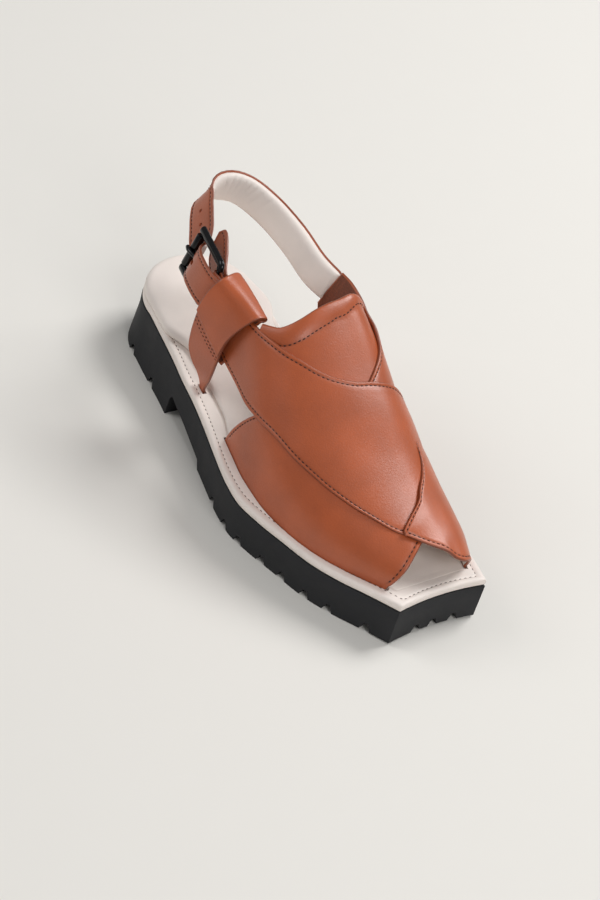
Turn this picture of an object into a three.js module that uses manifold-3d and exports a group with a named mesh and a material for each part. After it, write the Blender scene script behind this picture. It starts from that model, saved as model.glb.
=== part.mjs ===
// Peshawari chappal, right shoe: a lugged rubber sole, a cream wrapped insole board with a padded
// footbed, an upper of crossing leather panels, a padded strap round the heel, and a roller buckle
// held at the ankle by a wide leather keeper. Millimetres, +X to the toe, +Y to the inner side of
// the foot, +Z up. The shoe stands on its heel and forefoot lugs.

import * as THREE from 'three';
import { mergeVertices } from 'three/addons/utils/BufferGeometryUtils.js';
import Module from 'manifold-3d';

const wasm = await Module();
wasm.setup();

// Driving sizes of the sole
const length = 297;
const ballWidth = 113;
const heelHeight = 34;
const ballHeight = 24.5;
const heelRound = 37;
const archHeight = 15;
const toeSpring = 1.5;
const toeHollow = 2.6;
const heelFlare = 2.6;
const lugDepth = 5.2;
const grooveMouth = 6.4;
const grooveRoot = 2.6;
const sideGrooveReach = 27;
const heelGrooveReach = 19;

// Driving sizes of the board and the footbed
const boardThickness = 5;
const boardRound = 1.3;
const rimReveal = 0.4;
const heelPad = 7;
const forePad = 2.6;
const padRound = 3;
const toeBorder = 12;

// Driving sizes of the upper
const instepHeight = 112;
const wall = 2;
const footDepth = 3.6;
const fit = 0.3;
const slotRoom = 0.45;
const slotSpread = 0.012;
const layerBite = 0.8;

// Driving sizes of the heel strap, the keeper and the buckle
const strapWidth = 22;
const strapThickness = 2.6;
const strapPad = 3.2;
const frameLength = 32;
const frameWidth = 32;
const frameWire = 3.8;
const frameCorner = 2.4;
const barWire = 2;
const rollerDiameter = 4.6;
const prongWidth = 2.2;
const chapeReach = 9;

const quarterTurn = Math.PI / 2;
const clamp = (value, low, high) => Math.min(high, Math.max(low, value));
const mix = (a, b, t) => a + (b - a) * t;
const ease = (from, to, value) => {
  const t = clamp((value - from) / (to - from), 0, 1);
  return t * t * (3 - 2 * t);
};

// A smooth curve through a table's column that never swings past its rows
function column(table, key, value) {
  const x = table.map((row) => row[key]);
  const y = table.map((row) => row[value]);
  const slope = x.slice(1).map((next, i) => (y[i + 1] - y[i]) / (next - x[i]));
  const tangent = x.map((_, i) => {
    const before = slope[i - 1] ?? slope[i];
    const after = slope[i] ?? slope[i - 1];
    return before * after > 0 ? (2 * before * after) / (before + after) : 0;
  });
  return (at) => {
    const here = clamp(at, x[0], x[x.length - 1]);
    let i = 0;
    while (i < x.length - 2 && here > x[i + 1]) i += 1;
    const span = x[i + 1] - x[i];
    const t = (here - x[i]) / span;
    return (1 + 2 * t) * (1 - t) ** 2 * y[i] + t * (1 - t) ** 2 * span * tangent[i]
      + t * t * (3 - 2 * t) * y[i + 1] + t * t * (t - 1) * span * tangent[i + 1];
  };
}

// Plan of the sole: shares of the length along it, shares of the ball width to each side
const plan = [
  { along: 0.125, outer: 0.33, inner: 0.325 },
  { along: 0.17, outer: 0.351, inner: 0.336 },
  { along: 0.26, outer: 0.387, inner: 0.32 },
  { along: 0.31, outer: 0.412, inner: 0.303 },
  { along: 0.375, outer: 0.436, inner: 0.292 },
  { along: 0.45, outer: 0.477, inner: 0.312 },
  { along: 0.52, outer: 0.522, inner: 0.354 },
  { along: 0.59, outer: 0.562, inner: 0.4 },
  { along: 0.64, outer: 0.575, inner: 0.423 },
  { along: 0.7, outer: 0.545, inner: 0.432 },
  { along: 0.76, outer: 0.496, inner: 0.425 },
  { along: 0.83, outer: 0.438, inner: 0.408 },
  { along: 0.885, outer: 0.37, inner: 0.392 },
  { along: 0.94, outer: 0.284, inner: 0.376 },
  { along: 1, outer: 0.198, inner: 0.342 },
];
const outerShare = column(plan, 'along', 'outer');
const innerShare = column(plan, 'along', 'inner');

// Side profile: top of the rubber as a share between the ball's height and the heel's
const profile = [
  { along: 0, rise: 1 },
  { along: 0.15, rise: 0.98 },
  { along: 0.27, rise: 0.78 },
  { along: 0.4, rise: 0.45 },
  { along: 0.54, rise: 0.19 },
  { along: 0.68, rise: 0.02 },
  { along: 0.8, rise: -0.07 },
  { along: 0.9, rise: 0.01 },
  { along: 1, rise: 0.17 },
];
const riseShare = column(profile, 'along', 'rise');
const rubberTop = (x) => ballHeight + (heelHeight - ballHeight) * riseShare(x / length);
const boardTop = (x) => rubberTop(x) + fit + boardThickness;
const springStart = 0.86;
const rubberBottom = (x) => toeSpring * ease(springStart, 1, x / length) ** 2;

// Half width of the sole at x, with the heel rounded off
function soleSide(x, share) {
  const round = x < heelRound ? Math.sqrt(Math.max(0, 1 - (1 - x / heelRound) ** 2)) : 1;
  return share(x / length) * ballWidth * round;
}

// Stations along the sole, close together where the heel turns
const heelTurns = [0.14, 0.34, 0.56, 0.8, 1.04, 1.3];
const sideStations = 17;
const stations = [
  ...heelTurns.map((turn) => heelRound * (1 - Math.cos(turn))),
  ...Array.from({ length: sideStations }, (_, i) => mix(heelRound, length, i / (sideStations - 1))),
];
const columns = 6;

// Rows of points across the shoe: each row bows at the back of the heel and at the hollow toe
function planGrid(rows, outerSide, innerSide, backBow, frontBow) {
  return rows.map((x, i) => {
    const bow = i === 0 ? backBow : i === rows.length - 1 ? frontBow : 0;
    return Array.from({ length: columns + 1 }, (_, j) => {
      const t = j / columns;
      return { x: x + bow * (1 - (2 * t - 1) ** 2), y: mix(-outerSide(x), innerSide(x), t) };
    });
  });
}

function soleGrid(inset) {
  const insetAt = (x) => (typeof inset === 'function' ? inset(x) : inset);
  const rows = stations.map((x) => x + insetAt(x) * (1 - (2 * x) / length));
  const side = (share) => (x) => {
    const source = clamp((x - insetAt(x)) / (1 - (2 * insetAt(x)) / length), 0.1, length);
    return Math.max(1.2, soleSide(source, share) - insetAt(x));
  };
  return planGrid(rows, side(outerShare), side(innerShare), -stations[0], -toeHollow);
}

const solidOf = (triangles) => {
  const soup = new THREE.BufferGeometry();
  soup.setAttribute('position', new THREE.Float32BufferAttribute(triangles.flat(2), 3));
  return solidFrom(soup);
};

function solidFrom(geometry) {
  const bare = geometry.index ? geometry.toNonIndexed() : geometry.clone();
  bare.deleteAttribute('normal');
  bare.deleteAttribute('uv');
  const merged = mergeVertices(bare, 1e-4);
  const index = Array.from(merged.index.array);
  const kept = [];
  for (let i = 0; i < index.length; i += 3) {
    const [a, b, c] = index.slice(i, i + 3);
    if (a !== b && b !== c && c !== a) kept.push(a, b, c);
  }
  const vertProperties = new Float32Array(merged.attributes.position.array);
  const solid = new wasm.Manifold(new wasm.Mesh({
    numProp: 3, vertProperties, triVerts: new Uint32Array(kept),
  }));
  return solid;
}

// A closed solid between two grids of points of the same size
function between(bottom, top, levels = []) {
  const faces = [];
  const quad = (a, b, c, d) => {
    faces.push([a, b, c], [a, c, d]);
  };
  const rows = top.length;
  const across = top[0].length;
  for (let i = 0; i < rows - 1; i += 1) {
    for (let j = 0; j < across - 1; j += 1) {
      quad(top[i][j], top[i + 1][j], top[i + 1][j + 1], top[i][j + 1]);
      quad(bottom[i][j], bottom[i][j + 1], bottom[i + 1][j + 1], bottom[i + 1][j]);
    }
  }
  const border = (grid) => [
    ...grid.map((row) => row[0]),
    ...grid[rows - 1].slice(1),
    ...grid.slice(0, rows - 1).reverse().map((row) => row[across - 1]),
    ...grid[0].slice(1, across - 1).reverse(),
  ];
  const rings = [bottom, ...levels, top].map(border);
  for (let k = 0; k < rings.length - 1; k += 1) {
    const low = rings[k];
    const high = rings[k + 1];
    low.forEach((point, i) => {
      const next = (i + 1) % low.length;
      quad(point, low[next], high[next], high[i]);
    });
  }
  return solidOf(faces);
}

const lifted = (grid, height) => grid.map((row) => row.map(({ x, y }) => [x, y, height(x)]));

// A prism: an outline in the XZ plane run across the shoe
function sidePrism(outline, fromY, toY) {
  const shape = new THREE.Shape(outline.map(([x, z]) => new THREE.Vector2(x, z)));
  const prism = new THREE.ExtrudeGeometry(shape, { depth: toY - fromY, bevelEnabled: false });
  prism.rotateX(quarterTurn);
  prism.translate(0, toY, 0);
  return solidFrom(prism);
}

// Outsole: the block of rubber, hollowed under the arch and cut into lugs
const breastAt = 0.294;
const archShare = [
  { along: 0.3, rise: 1 },
  { along: 0.34, rise: 0.84 },
  { along: 0.4, rise: 0.56 },
  { along: 0.452, rise: 0.38 },
];
const forefootAt = 0.462;
const groundReach = 40;

function archCut() {
  const under = archShare.map(({ along, rise }) => [along * length, rise * archHeight]);
  const outline = [
    [breastAt * length, -groundReach], [breastAt * length, archHeight * 0.8],
    ...under, [forefootAt * length, -0.2], [forefootAt * length, -groundReach],
  ];
  return sidePrism(outline, -ballWidth, ballWidth);
}

// A groove between two lugs, run in from the edge of the sole
function groove(x, y, heading, reach) {
  const outline = new THREE.Shape([
    new THREE.Vector2(-grooveMouth / 2, -groundReach),
    new THREE.Vector2(grooveMouth / 2, -groundReach),
    new THREE.Vector2(grooveMouth / 2, 0),
    new THREE.Vector2(grooveRoot / 2, lugDepth),
    new THREE.Vector2(-grooveRoot / 2, lugDepth),
    new THREE.Vector2(-grooveMouth / 2, 0),
  ]);
  const cut = new THREE.ExtrudeGeometry(outline, { depth: 2 * reach, bevelEnabled: false });
  cut.rotateX(quarterTurn);
  cut.translate(0, reach, 0);
  cut.rotateZ(heading);
  cut.translate(x, y, rubberBottom(x));
  return solidFrom(cut);
}

// Where the lugs part: shares of the length on the sides, shares of the toe's width in front
const outerGrooves = [0.1, 0.205, 0.556, 0.618, 0.667, 0.728, 0.779, 0.835, 0.883, 0.953];
const innerGrooves = [0.1, 0.205, 0.527, 0.588, 0.645, 0.697, 0.754, 0.808, 0.86, 0.92];
const toeGrooves = [-0.1, 0.26, 0.62];
const backGrooves = [-0.3, 0.3];
const grooveSlant = 0.2;

function outsole() {
  const flare = (x) => mix(-heelFlare, 0.8, ease(0.28, 0.5, x / length))
    * (1 - ease(0.7, 0.85, x / length));
  const bottom = lifted(soleGrid(flare), rubberBottom);
  const waist = lifted(soleGrid(0), (x) => rubberTop(x) - 9);
  const top = lifted(soleGrid(0), rubberTop);
  let body = between(bottom, top, [waist]).subtract(archCut());
  const cutSide = (shares, side, sign) => shares.forEach((share) => {
    const x = share * length;
    const reach = share < breastAt ? heelGrooveReach : sideGrooveReach;
    body = body.subtract(groove(x, sign * side(x), -sign * grooveSlant, reach));
  });
  cutSide(outerGrooves, (x) => soleSide(x, outerShare), -1);
  cutSide(innerGrooves, (x) => soleSide(x, innerShare), 1);
  const toeOuter = soleSide(length, outerShare);
  const toeInner = soleSide(length, innerShare);
  toeGrooves.forEach((share) => {
    const y = share * (share < 0 ? toeOuter : toeInner);
    body = body.subtract(groove(length, y, quarterTurn, sideGrooveReach * 0.5));
  });
  backGrooves.forEach((share) => {
    body = body.subtract(groove(0, share * heelRound, quarterTurn, heelGrooveReach * 0.7));
  });
  return body;
}

// The foot's form that the upper is shaped on. Its sections are worked out from shares of the
// ball width, the instep's height and the length, and turn from the outer side (-1) over the
// crown (0) to the inner side (1). Past either side it drops straight into the board.
const form = [
  { along: 0.2, outer: 0.301, inner: 0.265, height: 1, crown: 0.018, full: 0.75 },
  { along: 0.27, outer: 0.327, inner: 0.257, height: 0.973, crown: 0.018, full: 0.7 },
  { along: 0.337, outer: 0.345, inner: 0.252, height: 0.929, crown: 0.022, full: 0.65 },
  { along: 0.404, outer: 0.367, inner: 0.25, height: 0.866, crown: 0.031, full: 0.6 },
  { along: 0.471, outer: 0.398, inner: 0.272, height: 0.786, crown: 0.044, full: 0.54 },
  { along: 0.539, outer: 0.434, inner: 0.312, height: 0.688, crown: 0.058, full: 0.6 },
  { along: 0.606, outer: 0.465, inner: 0.35, height: 0.585, crown: 0.062, full: 0.76 },
  { along: 0.673, outer: 0.473, inner: 0.36, height: 0.491, crown: 0.062, full: 0.9 },
  { along: 0.741, outer: 0.447, inner: 0.367, height: 0.406, crown: 0.062, full: 0.97 },
  { along: 0.808, outer: 0.394, inner: 0.35, height: 0.326, crown: 0.066, full: 0.98 },
  { along: 0.875, outer: 0.305, inner: 0.327, height: 0.25, crown: 0.071, full: 0.94 },
  { along: 0.946, outer: 0.186, inner: 0.283, height: 0.165, crown: 0.071, full: 0.88 },
  { along: 1, outer: 0.106, inner: 0.23, height: 0.107, crown: 0.071, full: 0.85 },
];
const formOuter = column(form, 'along', 'outer');
const formInner = column(form, 'along', 'inner');
const formHeight = column(form, 'along', 'height');
const formCrown = column(form, 'along', 'crown');
const formFull = column(form, 'along', 'full');
const fullness = 0.85;
const dropPerTurn = 100;
const toeLift = 3;
const formBase = (x) => boardTop(x) + toeLift * ease(0.86, 1, x / length);

function formPoint(x, turn) {
  const share = x / length;
  const angle = Math.min(1, Math.abs(turn)) * quarterTurn;
  const crown = formCrown(share) * ballWidth;
  const side = (turn < 0 ? -formOuter(share) : formInner(share)) * ballWidth;
  const drop = Math.max(0, Math.abs(turn) - 1) * dropPerTurn;
  const swell = turn < 0 ? fullness : formFull(share);
  const y = crown + (side - crown) * Math.sin(angle) ** swell;
  const z = formBase(x) + formHeight(share) * instepHeight * Math.max(0, Math.cos(angle)) ** fullness;
  return new THREE.Vector3(x, y, z - drop);
}

// A point that stands off the form by a distance, square to it
function offForm(x, turn, distance) {
  const step = 0.004;
  const here = clamp(turn, -1 + step, 1 - step);
  const alongX = formPoint(x + 1, here).sub(formPoint(x - 1, here));
  const aroundY = formPoint(x, here + step).sub(formPoint(x, here - step));
  const normal = alongX.cross(aroundY).normalize();
  if (Math.abs(turn) > 1 - step) normal.set(0, Math.sign(turn), 0);
  return formPoint(x, turn).addScaledVector(normal, distance);
}

// Rails: rows of [share of the length, turn round the form, distance off it], read smoothly
function rail(rows) {
  const points = rows.map(([along, turn, off = 0]) => new THREE.Vector3(along * length, turn * 100, off));
  const curve = new THREE.CatmullRomCurve3(points, false, 'centripetal');
  return (u) => {
    const point = curve.getPoint(clamp(u, 0, 1));
    const past = u - clamp(u, 0, 1);
    if (past !== 0) point.addScaledVector(curve.getTangent(clamp(u, 0, 1)), past * curve.getLength());
    return point;
  };
}

// A point on a panel: u along its rails, v from the first to the second, a distance off them
function onPanel([first, second], u, v, distance) {
  const at = first(u).lerp(second(u), v);
  return offForm(at.x, at.y / 100, at.z + distance);
}

// Leather between two rails: inner and outer give its two faces' distances off the rails, which
// may run either way round the form
function panel({ rails, inner, outer, along = 20, across = 6, u0 = 0, u1 = 1, v0 = 0, v1 = 1 }) {
  const pair = rails.map(rail);
  const grid = (face) => Array.from({ length: along + 1 }, (_, i) => {
    const u = mix(u0, u1, i / along);
    return Array.from({ length: across + 1 }, (__, j) => {
      const v = mix(v0, v1, j / across);
      return onPanel(pair, u, v, face(u, v)).toArray();
    });
  });
  const leather = between(grid(inner), grid(outer));
  return leather.volume() > 0 ? leather : between(grid(outer), grid(inner));
}

// The upper's panels. Each table gives two rails that bound one panel.
const footTurn = 1 + footDepth / dropPerTurn;
const quarterFoot = footTurn - 0.003;
const toeFoot = footTurn - 0.006;
const flat = { inner: () => 0, outer: () => wall };
const layered = (lift) => ({
  inner: (u, v) => Math.max(0, lift(u, v) * wall - layerBite),
  outer: (u, v) => (1 + lift(u, v)) * wall,
});

const outerVamp = {
  rails: [
    [[0.488, -footTurn], [0.56, -footTurn], [0.64, -footTurn], [0.73, -footTurn],
      [0.81, -footTurn], [0.88, -footTurn], [0.946, -footTurn]],
    [[0.585, -0.6], [0.63, -0.5], [0.68, -0.43], [0.74, -0.37], [0.8, -0.29], [0.86, -0.18],
      [0.922, -0.1]],
  ],
  across: 8,
  ...flat,
};

const instepPiece = {
  rails: [
    [[0.446, -0.475], [0.463, -0.425], [0.478, -0.37], [0.487, -0.25], [0.484, -0.1],
      [0.477, 0.05, 0.8], [0.47, 0.18, 2.8], [0.472, 0.3, 4.4], [0.48, 0.44, 5.4]],
    [[0.462, -0.56], [0.532, -0.46], [0.572, -0.37], [0.61, -0.27], [0.64, -0.17],
      [0.66, -0.05], [0.667, 0.1], [0.66, 0.28], [0.62, 0.48]],
  ],
  ...flat,
};

const innerQuarter = {
  rails: [
    [[0.38, 0.5, 11.5], [0.42, 0.44, 11], [0.468, 0.38, 8.5], [0.5, 0.345, 6], [0.53, 0.32, 4],
      [0.56, 0.27, 2.4], [0.588, 0.18, 1.2], [0.612, 0.08, 0.4], [0.64, -0.04]],
    [[0.365, 0.7], [0.378, 0.77], [0.4, 0.88], [0.432, quarterFoot], [0.48, quarterFoot],
      [0.53, quarterFoot], [0.58, quarterFoot], [0.63, quarterFoot], [0.672, quarterFoot]],
  ],
  ...layered((u, v) => ease(0.32, 0.5, u) * (1 - ease(0.3, 0.6, v))),
};

const crossBand = {
  rails: [
    [[0.2, -0.655, -9], [0.213, -0.7, -8.5], [0.262, -0.72, -4.6], [0.306, -0.755], [0.35, -0.79],
      [0.397, -0.812], [0.468, -0.792], [0.522, -0.762], [0.569, -0.71], [0.623, -0.64],
      [0.707, -0.56], [0.774, -0.49], [0.842, -0.39], [0.899, -0.25], [0.905, 0.0],
      [0.9, 0.4], [0.885, 0.75], [0.87, footTurn]],
    [[0.2, -0.56, -10], [0.213, -0.52, -10], [0.262, -0.54, -5.4], [0.306, -0.57], [0.35, -0.56],
      [0.39, -0.553], [0.44, -0.513], [0.488, -0.44], [0.525, -0.37], [0.549, -0.31],
      [0.582, -0.22], [0.606, -0.13], [0.623, -0.03], [0.63, 0.1], [0.633, 0.29],
      [0.638, 0.55], [0.645, 0.8], [0.655, footTurn]],
  ],
  along: 42,
  ...layered((u, v) => {
    const overVamp = ease(0.36, 0.46, u) * (1 - ease(0.2, 0.45, v)) * (1 - ease(0.72, 0.8, u));
    const overInstep = ease(0.3, 0.4, u) * ease(0.62, 0.82, v);
    const overQuarter = ease(0.62, 0.72, u) * ease(0.6, 0.8, v);
    return Math.max(overVamp, overInstep) + overQuarter;
  }),
};

const toePiece = {
  rails: [
    [[0.896, -0.24], [0.865, -0.05], [0.828, 0.1], [0.801, 0.23], [0.768, 0.33],
      [0.73, 0.37], [0.711, 0.6], [0.7, toeFoot]],
    [[0.902, -0.25], [0.926, -0.15], [0.949, -0.02], [0.966, 0.1], [0.976, 0.22],
      [0.98, 0.4], [0.97, 0.7], [0.956, toeFoot]],
  ],
  ...layered((u, v) => 1 + 0.6 * (1 - ease(0.15, 0.5, u)) * (1 - ease(0.4, 1, v))
    - ease(0.35, 0.55, u) * ease(0.72, 1, v)),
};

function upper() {
  return [outerVamp, instepPiece, innerQuarter, crossBand, toePiece]
    .map(panel)
    .reduce((joined, next) => joined.add(next));
}

// The slots in the board: each panel again, with room all round it
function slotFor(table, room = slotRoom) {
  return panel({
    ...table,
    inner: (u, v) => table.inner(u, v) - room,
    outer: (u, v) => table.outer(u, v) + room,
    u0: -slotSpread,
    u1: 1 + slotSpread,
    v0: -slotSpread,
    v1: 1 + slotSpread,
  });
}

function insoleBoard() {
  const at = (inset, height) => lifted(soleGrid(inset), (x) => rubberTop(x) + fit + height);
  const levels = [at(rimReveal, boardRound), at(rimReveal, boardThickness - boardRound)];
  const under = at(rimReveal + boardRound * 0.6, 0);
  const top = at(rimReveal + boardRound, boardThickness);
  let board = between(under, top, levels);
  [outerVamp, innerQuarter, crossBand, toePiece].forEach((table) => {
    board = board.subtract(slotFor(table));
  });
  return board.subtract(keeperLeg(slotRoom));
}

// Footbed: full width under the heel, then inside the line of the panels' feet
const padFull = 0.19;
const padNarrow = 0.27;

function footbed() {
  const innermost = wall + fit * 2;
  const side = (soleShare, formShare, keeperRoom) => (x) => {
    const share = x / length;
    const room = slotRoom + fit + keeperRoom * innermost * (1 - ease(0.44, 0.5, share));
    return mix(soleSide(x, soleShare) - rimReveal, formShare(share) * ballWidth - room,
      ease(padFull, padNarrow, share));
  };
  const outerSide = side(outerShare, formOuter, 1);
  const innerSide = side(innerShare, formInner, 0);
  const padStations = stations.filter((x) => x < length - toeBorder - 4).concat(length - toeBorder);
  const thickness = (x) => mix(heelPad, forePad, ease(0.2, 0.5, x / length));
  const grid = (inset, height) => {
    const narrowed = (edge) => (x) => Math.max(1, edge(x) - inset);
    const from = rimReveal + inset;
    const to = length - toeBorder - inset;
    const rows = padStations.map((x) => mix(from, to, x / (length - toeBorder)));
    return planGrid(rows, narrowed(outerSide), narrowed(innerSide), -stations[0], 0)
      .map((row) => row.map(({ x, y }) => [x, y, boardTop(x) + fit + height * thickness(x)]));
  };
  const sides = [grid(0, 0.2), grid(padRound * 0.25, 0.68)];
  return between(grid(padRound * 0.35, 0), grid(padRound, 1), sides);
}

// The buckle's own axes: along it from the roller to the pivot, across it upwards, and outwards
const buckleCorner = new THREE.Vector3(0.193 * length, -0.241 * ballWidth, 1.022 * instepHeight);
const across = new THREE.Vector3(0.06, 0.27, 0.96).normalize();
const forward = new THREE.Vector3(0.975, -0.205, -0.003);
forward.addScaledVector(across, -forward.dot(across)).normalize();
const outward = forward.clone().cross(across).normalize();
const rollerCentre = buckleCorner.clone().addScaledVector(across, -frameWidth / 2);

const buckleBasis = new THREE.Matrix4().makeBasis(forward, across, outward).setPosition(rollerCentre);
const buckleSpot = (ahead, aside, out) => new THREE.Vector3(ahead, aside, out).applyMatrix4(buckleBasis);

// A closed solid through rings of points
function sweep(rings) {
  const faces = [];
  const sides = rings[0].length;
  const last = rings.length - 1;
  for (let k = 1; k < sides - 1; k += 1) {
    faces.push([rings[0][0], rings[0][k], rings[0][k + 1]]);
    faces.push([rings[last][0], rings[last][k + 1], rings[last][k]]);
  }
  rings.slice(1).forEach((ring, i) => ring.forEach((point, k) => {
    const next = (k + 1) % sides;
    faces.push([rings[i][k], point, ring[next]], [rings[i][k], ring[next], rings[i][next]]);
  }));
  return solidOf(faces);
}

// A round bar in the buckle's own frame, along points in one plane, each with its thickness
function bar(points, facing, sides) {
  const spots = points.map(([ahead, aside, out]) => new THREE.Vector3(ahead, aside, out));
  return sweep(spots.map((spot, i) => {
    const tangent = (spots[i + 1] ?? spot).clone().sub(spots[i - 1] ?? spot).normalize();
    const beside = tangent.clone().cross(facing);
    return Array.from({ length: sides }, (_, k) => {
      const turn = (2 * Math.PI * k) / sides;
      const reach = beside.clone().multiplyScalar(Math.cos(turn))
        .addScaledVector(facing, Math.sin(turn));
      return spot.clone().addScaledVector(reach, points[i][3] / 2).toArray();
    });
  }));
}

const halfFrame = (frameWidth - frameWire) / 2;

const buckleUp = new THREE.Vector3(0, 0, 1);
const buckleAside = new THREE.Vector3(0, 1, 0);
const wireSides = 12;
const roundEnd = 0.62;

// Frame: two arms with rounded corners, a thin bar for the roller and a thin bar to pivot on
function buckleFrame() {
  const arm = (sign) => {
    const y = sign * halfFrame;
    const bend = 0.3 * frameCorner;
    return bar([
      [-frameWire / 2, y, 0, frameWire * roundEnd], [-frameWire / 4, y, 0, frameWire],
      [frameLength - frameCorner, y, 0, frameWire],
      [frameLength - bend, y - sign * bend, 0, frameWire],
      [frameLength, y - sign * frameCorner, 0, frameWire],
      [frameLength, y - sign * (frameCorner + frameWire / 4), 0, frameWire * roundEnd],
    ], buckleUp, wireSides);
  };
  const pin = (x) => bar([[x, -halfFrame, 0, barWire], [x, halfFrame, 0, barWire]], buckleUp, wireSides);
  const pivot = bar([
    [frameLength, frameCorner - halfFrame, 0, barWire],
    [frameLength, halfFrame - frameCorner, 0, barWire],
  ], buckleUp, wireSides);
  return arm(1).add(arm(-1)).add(pin(0)).add(pivot);
}

// A tube round the Y axis of the buckle's frame, with its bore open at both ends
function sleeve(innerDiameter, outerDiameter, span, sides = 14) {
  const profilePoints = [
    new THREE.Vector2(innerDiameter / 2, -span / 2), new THREE.Vector2(outerDiameter / 2, -span / 2),
    new THREE.Vector2(outerDiameter / 2, span / 2), new THREE.Vector2(innerDiameter / 2, span / 2),
    new THREE.Vector2(innerDiameter / 2, -span / 2),
  ];
  return solidFrom(new THREE.LatheGeometry(profilePoints, sides));
}

const prongRing = barWire + 2 * fit + 2.2;

function buckleRoller() {
  return sleeve(barWire + 2 * fit, rollerDiameter, frameWidth - 2 * frameWire - 4 * fit);
}

// Prong: a ring on the pivot bar and a tongue that comes down on the roller
function buckleProng() {
  const rest = rollerDiameter / 2 + fit + prongWidth / 2;
  const tongue = bar([
    [-2.1, 0, rest - 0.5, prongWidth * roundEnd], [0.6, 0, rest + 0.1, prongWidth],
    [3.4, 0, rest - 0.5, prongWidth], [8, 0, 1.5, prongWidth], [15, 0, 1.2, prongWidth],
    [frameLength - prongRing * 0.42, 0, 1, prongWidth],
  ], buckleAside, 8);
  const ring = sleeve(barWire + 2 * fit, prongRing, prongWidth).translate([frameLength, 0, 0]);
  return ring.add(tongue);
}

// Chape: the leather loop that holds the pivot bar, with a gap for the prong
const chapeLeather = 1.3;
const chapeBore = barWire + 2 * fit;

function buckleChape() {
  const radius = chapeBore / 2 + chapeLeather;
  const outline = new THREE.Shape();
  outline.absarc(0, 0, radius, quarterTurn, 3 * quarterTurn, false);
  outline.lineTo(chapeReach, -radius);
  outline.lineTo(chapeReach, -radius + 2 * chapeLeather);
  outline.lineTo(radius, radius - chapeLeather * 0.6);
  outline.closePath();
  const bore = new THREE.Path();
  bore.absarc(0, 0, chapeBore / 2, 0, Math.PI * 2, true);
  outline.holes.push(bore);
  const span = 2 * (halfFrame - frameCorner - fit) - frameWire;
  const loop = new THREE.ExtrudeGeometry(outline, { depth: span, bevelEnabled: false, curveSegments: 8 });
  loop.rotateX(quarterTurn);
  loop.translate(frameLength, span / 2, 0);
  const slot = new THREE.BoxGeometry(2 * radius + 4 + fit, prongWidth + 2 * fit, 2 * radius + 4);
  slot.translate(frameLength - 1, 0, 0);
  return solidFrom(loop).subtract(solidFrom(slot));
}

// Heel strap: from the ankle tab round the heel, under the roller, over the pivot and into the
// keeper. Each row gives the middle of the strap and the share of its padding there.
const heelPath = [
  [0.316, 0.272, 0.886, 1], [0.25, 0.285, 0.904, 1], [0.198, 0.283, 0.916, 1],
  [0.158, 0.258, 0.943, 1], [0.126, 0.211, 0.978, 1], [0.102, 0.155, 1.012, 1],
  [0.083, 0.08, 1.03, 1], [0.076, 0.0, 1.02, 0.9], [0.084, -0.066, 0.995, 0.3],
  [0.11, -0.119, 0.97, 0], [0.139, -0.16, 0.946, 0], [0.166, -0.198, 0.917, 0],
];
const bucklePath = [[0, -4.3], [5, -2.4], [9.6, 2.8], [15.5, 5.4], [24, 6], [32, 5.6], [38, 4.4], [43.5, 2],
  [48, -0.6]];
const tailDrop = 0.6;
const lapReach = 0.09;
const lapThickness = 1.6;
const lapPad = (lapThickness - strapThickness) / strapPad;
const heelLean = new THREE.Vector3(0.16, 0.42, 0.89).normalize();

function strapStations() {
  const pair = innerQuarter.rails.map(rail);
  const stand = wall + fit + strapThickness / 2 - (strapThickness - lapThickness);
  const onQuarter = (u, pad) => ({
    at: onPanel(pair, u, 0.54, stand),
    lean: onPanel(pair, u, 0, stand).sub(onPanel(pair, u, 1, stand)).normalize(),
    pad,
  });
  return [
    onQuarter(lapReach, lapPad), onQuarter(0.004, lapPad), onQuarter(-0.004, 0.8),
    ...heelPath.map(([along, aside, height, pad]) => ({
      at: new THREE.Vector3(along * length, aside * ballWidth, height * instepHeight),
      lean: heelLean,
      pad,
    })),
    ...bucklePath.map(([ahead, out]) => ({ at: buckleSpot(ahead, -tailDrop, out), lean: across, pad: 0 })),
  ];
}

function strapCurve() {
  const rows = strapStations();
  const path = new THREE.CatmullRomCurve3(rows.map((row) => row.at), false, 'centripetal');
  const leanPath = new THREE.CatmullRomCurve3(rows.map((row) => row.lean), false, 'catmullrom');
  const padAt = column(rows.map((row, i) => ({ i, pad: row.pad })), 'i', 'pad');
  return { rows, path, leanPath, padAt };
}

const strapSection = [[-0.5, 0.3], [-0.42, 0.5], [0, 0.52], [0.42, 0.5], [0.5, 0.3],
  [0.5, -0.3], [0.4, -0.5], [0, -0.56], [-0.4, -0.5], [-0.5, -0.3]];

function backStrap() {
  const { rows, path, leanPath, padAt } = strapCurve();
  const steps = (rows.length - 1) * 2;
  const rings = Array.from({ length: steps + 1 }, (_, i) => {
    const t = i / steps;
    const at = path.getPoint(t);
    const lean = leanPath.getPoint(t);
    const tangent = path.getTangent(t);
    const face = tangent.clone().cross(lean).normalize();
    const upward = face.clone().cross(tangent).normalize();
    const pad = padAt(t * (rows.length - 1)) * strapPad;
    return strapSection.map(([aside, out]) => {
      const depth = out > 0 ? out * strapThickness : out * strapThickness + (out / 0.56) * pad;
      return at.clone().addScaledVector(upward, aside * strapWidth)
        .addScaledVector(face, depth).toArray();
    });
  });
  return sweep(rings).subtract(prongHole()).subtract(slotFor(innerQuarter, fit));
}

// The hole that the prong comes up through
function prongHole() {
  const hole = new THREE.BoxGeometry(12.6, prongWidth + 3 * fit, 16);
  hole.translate(8.6, 0, 1);
  hole.applyMatrix4(buckleBasis);
  return solidFrom(hole);
}

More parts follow.
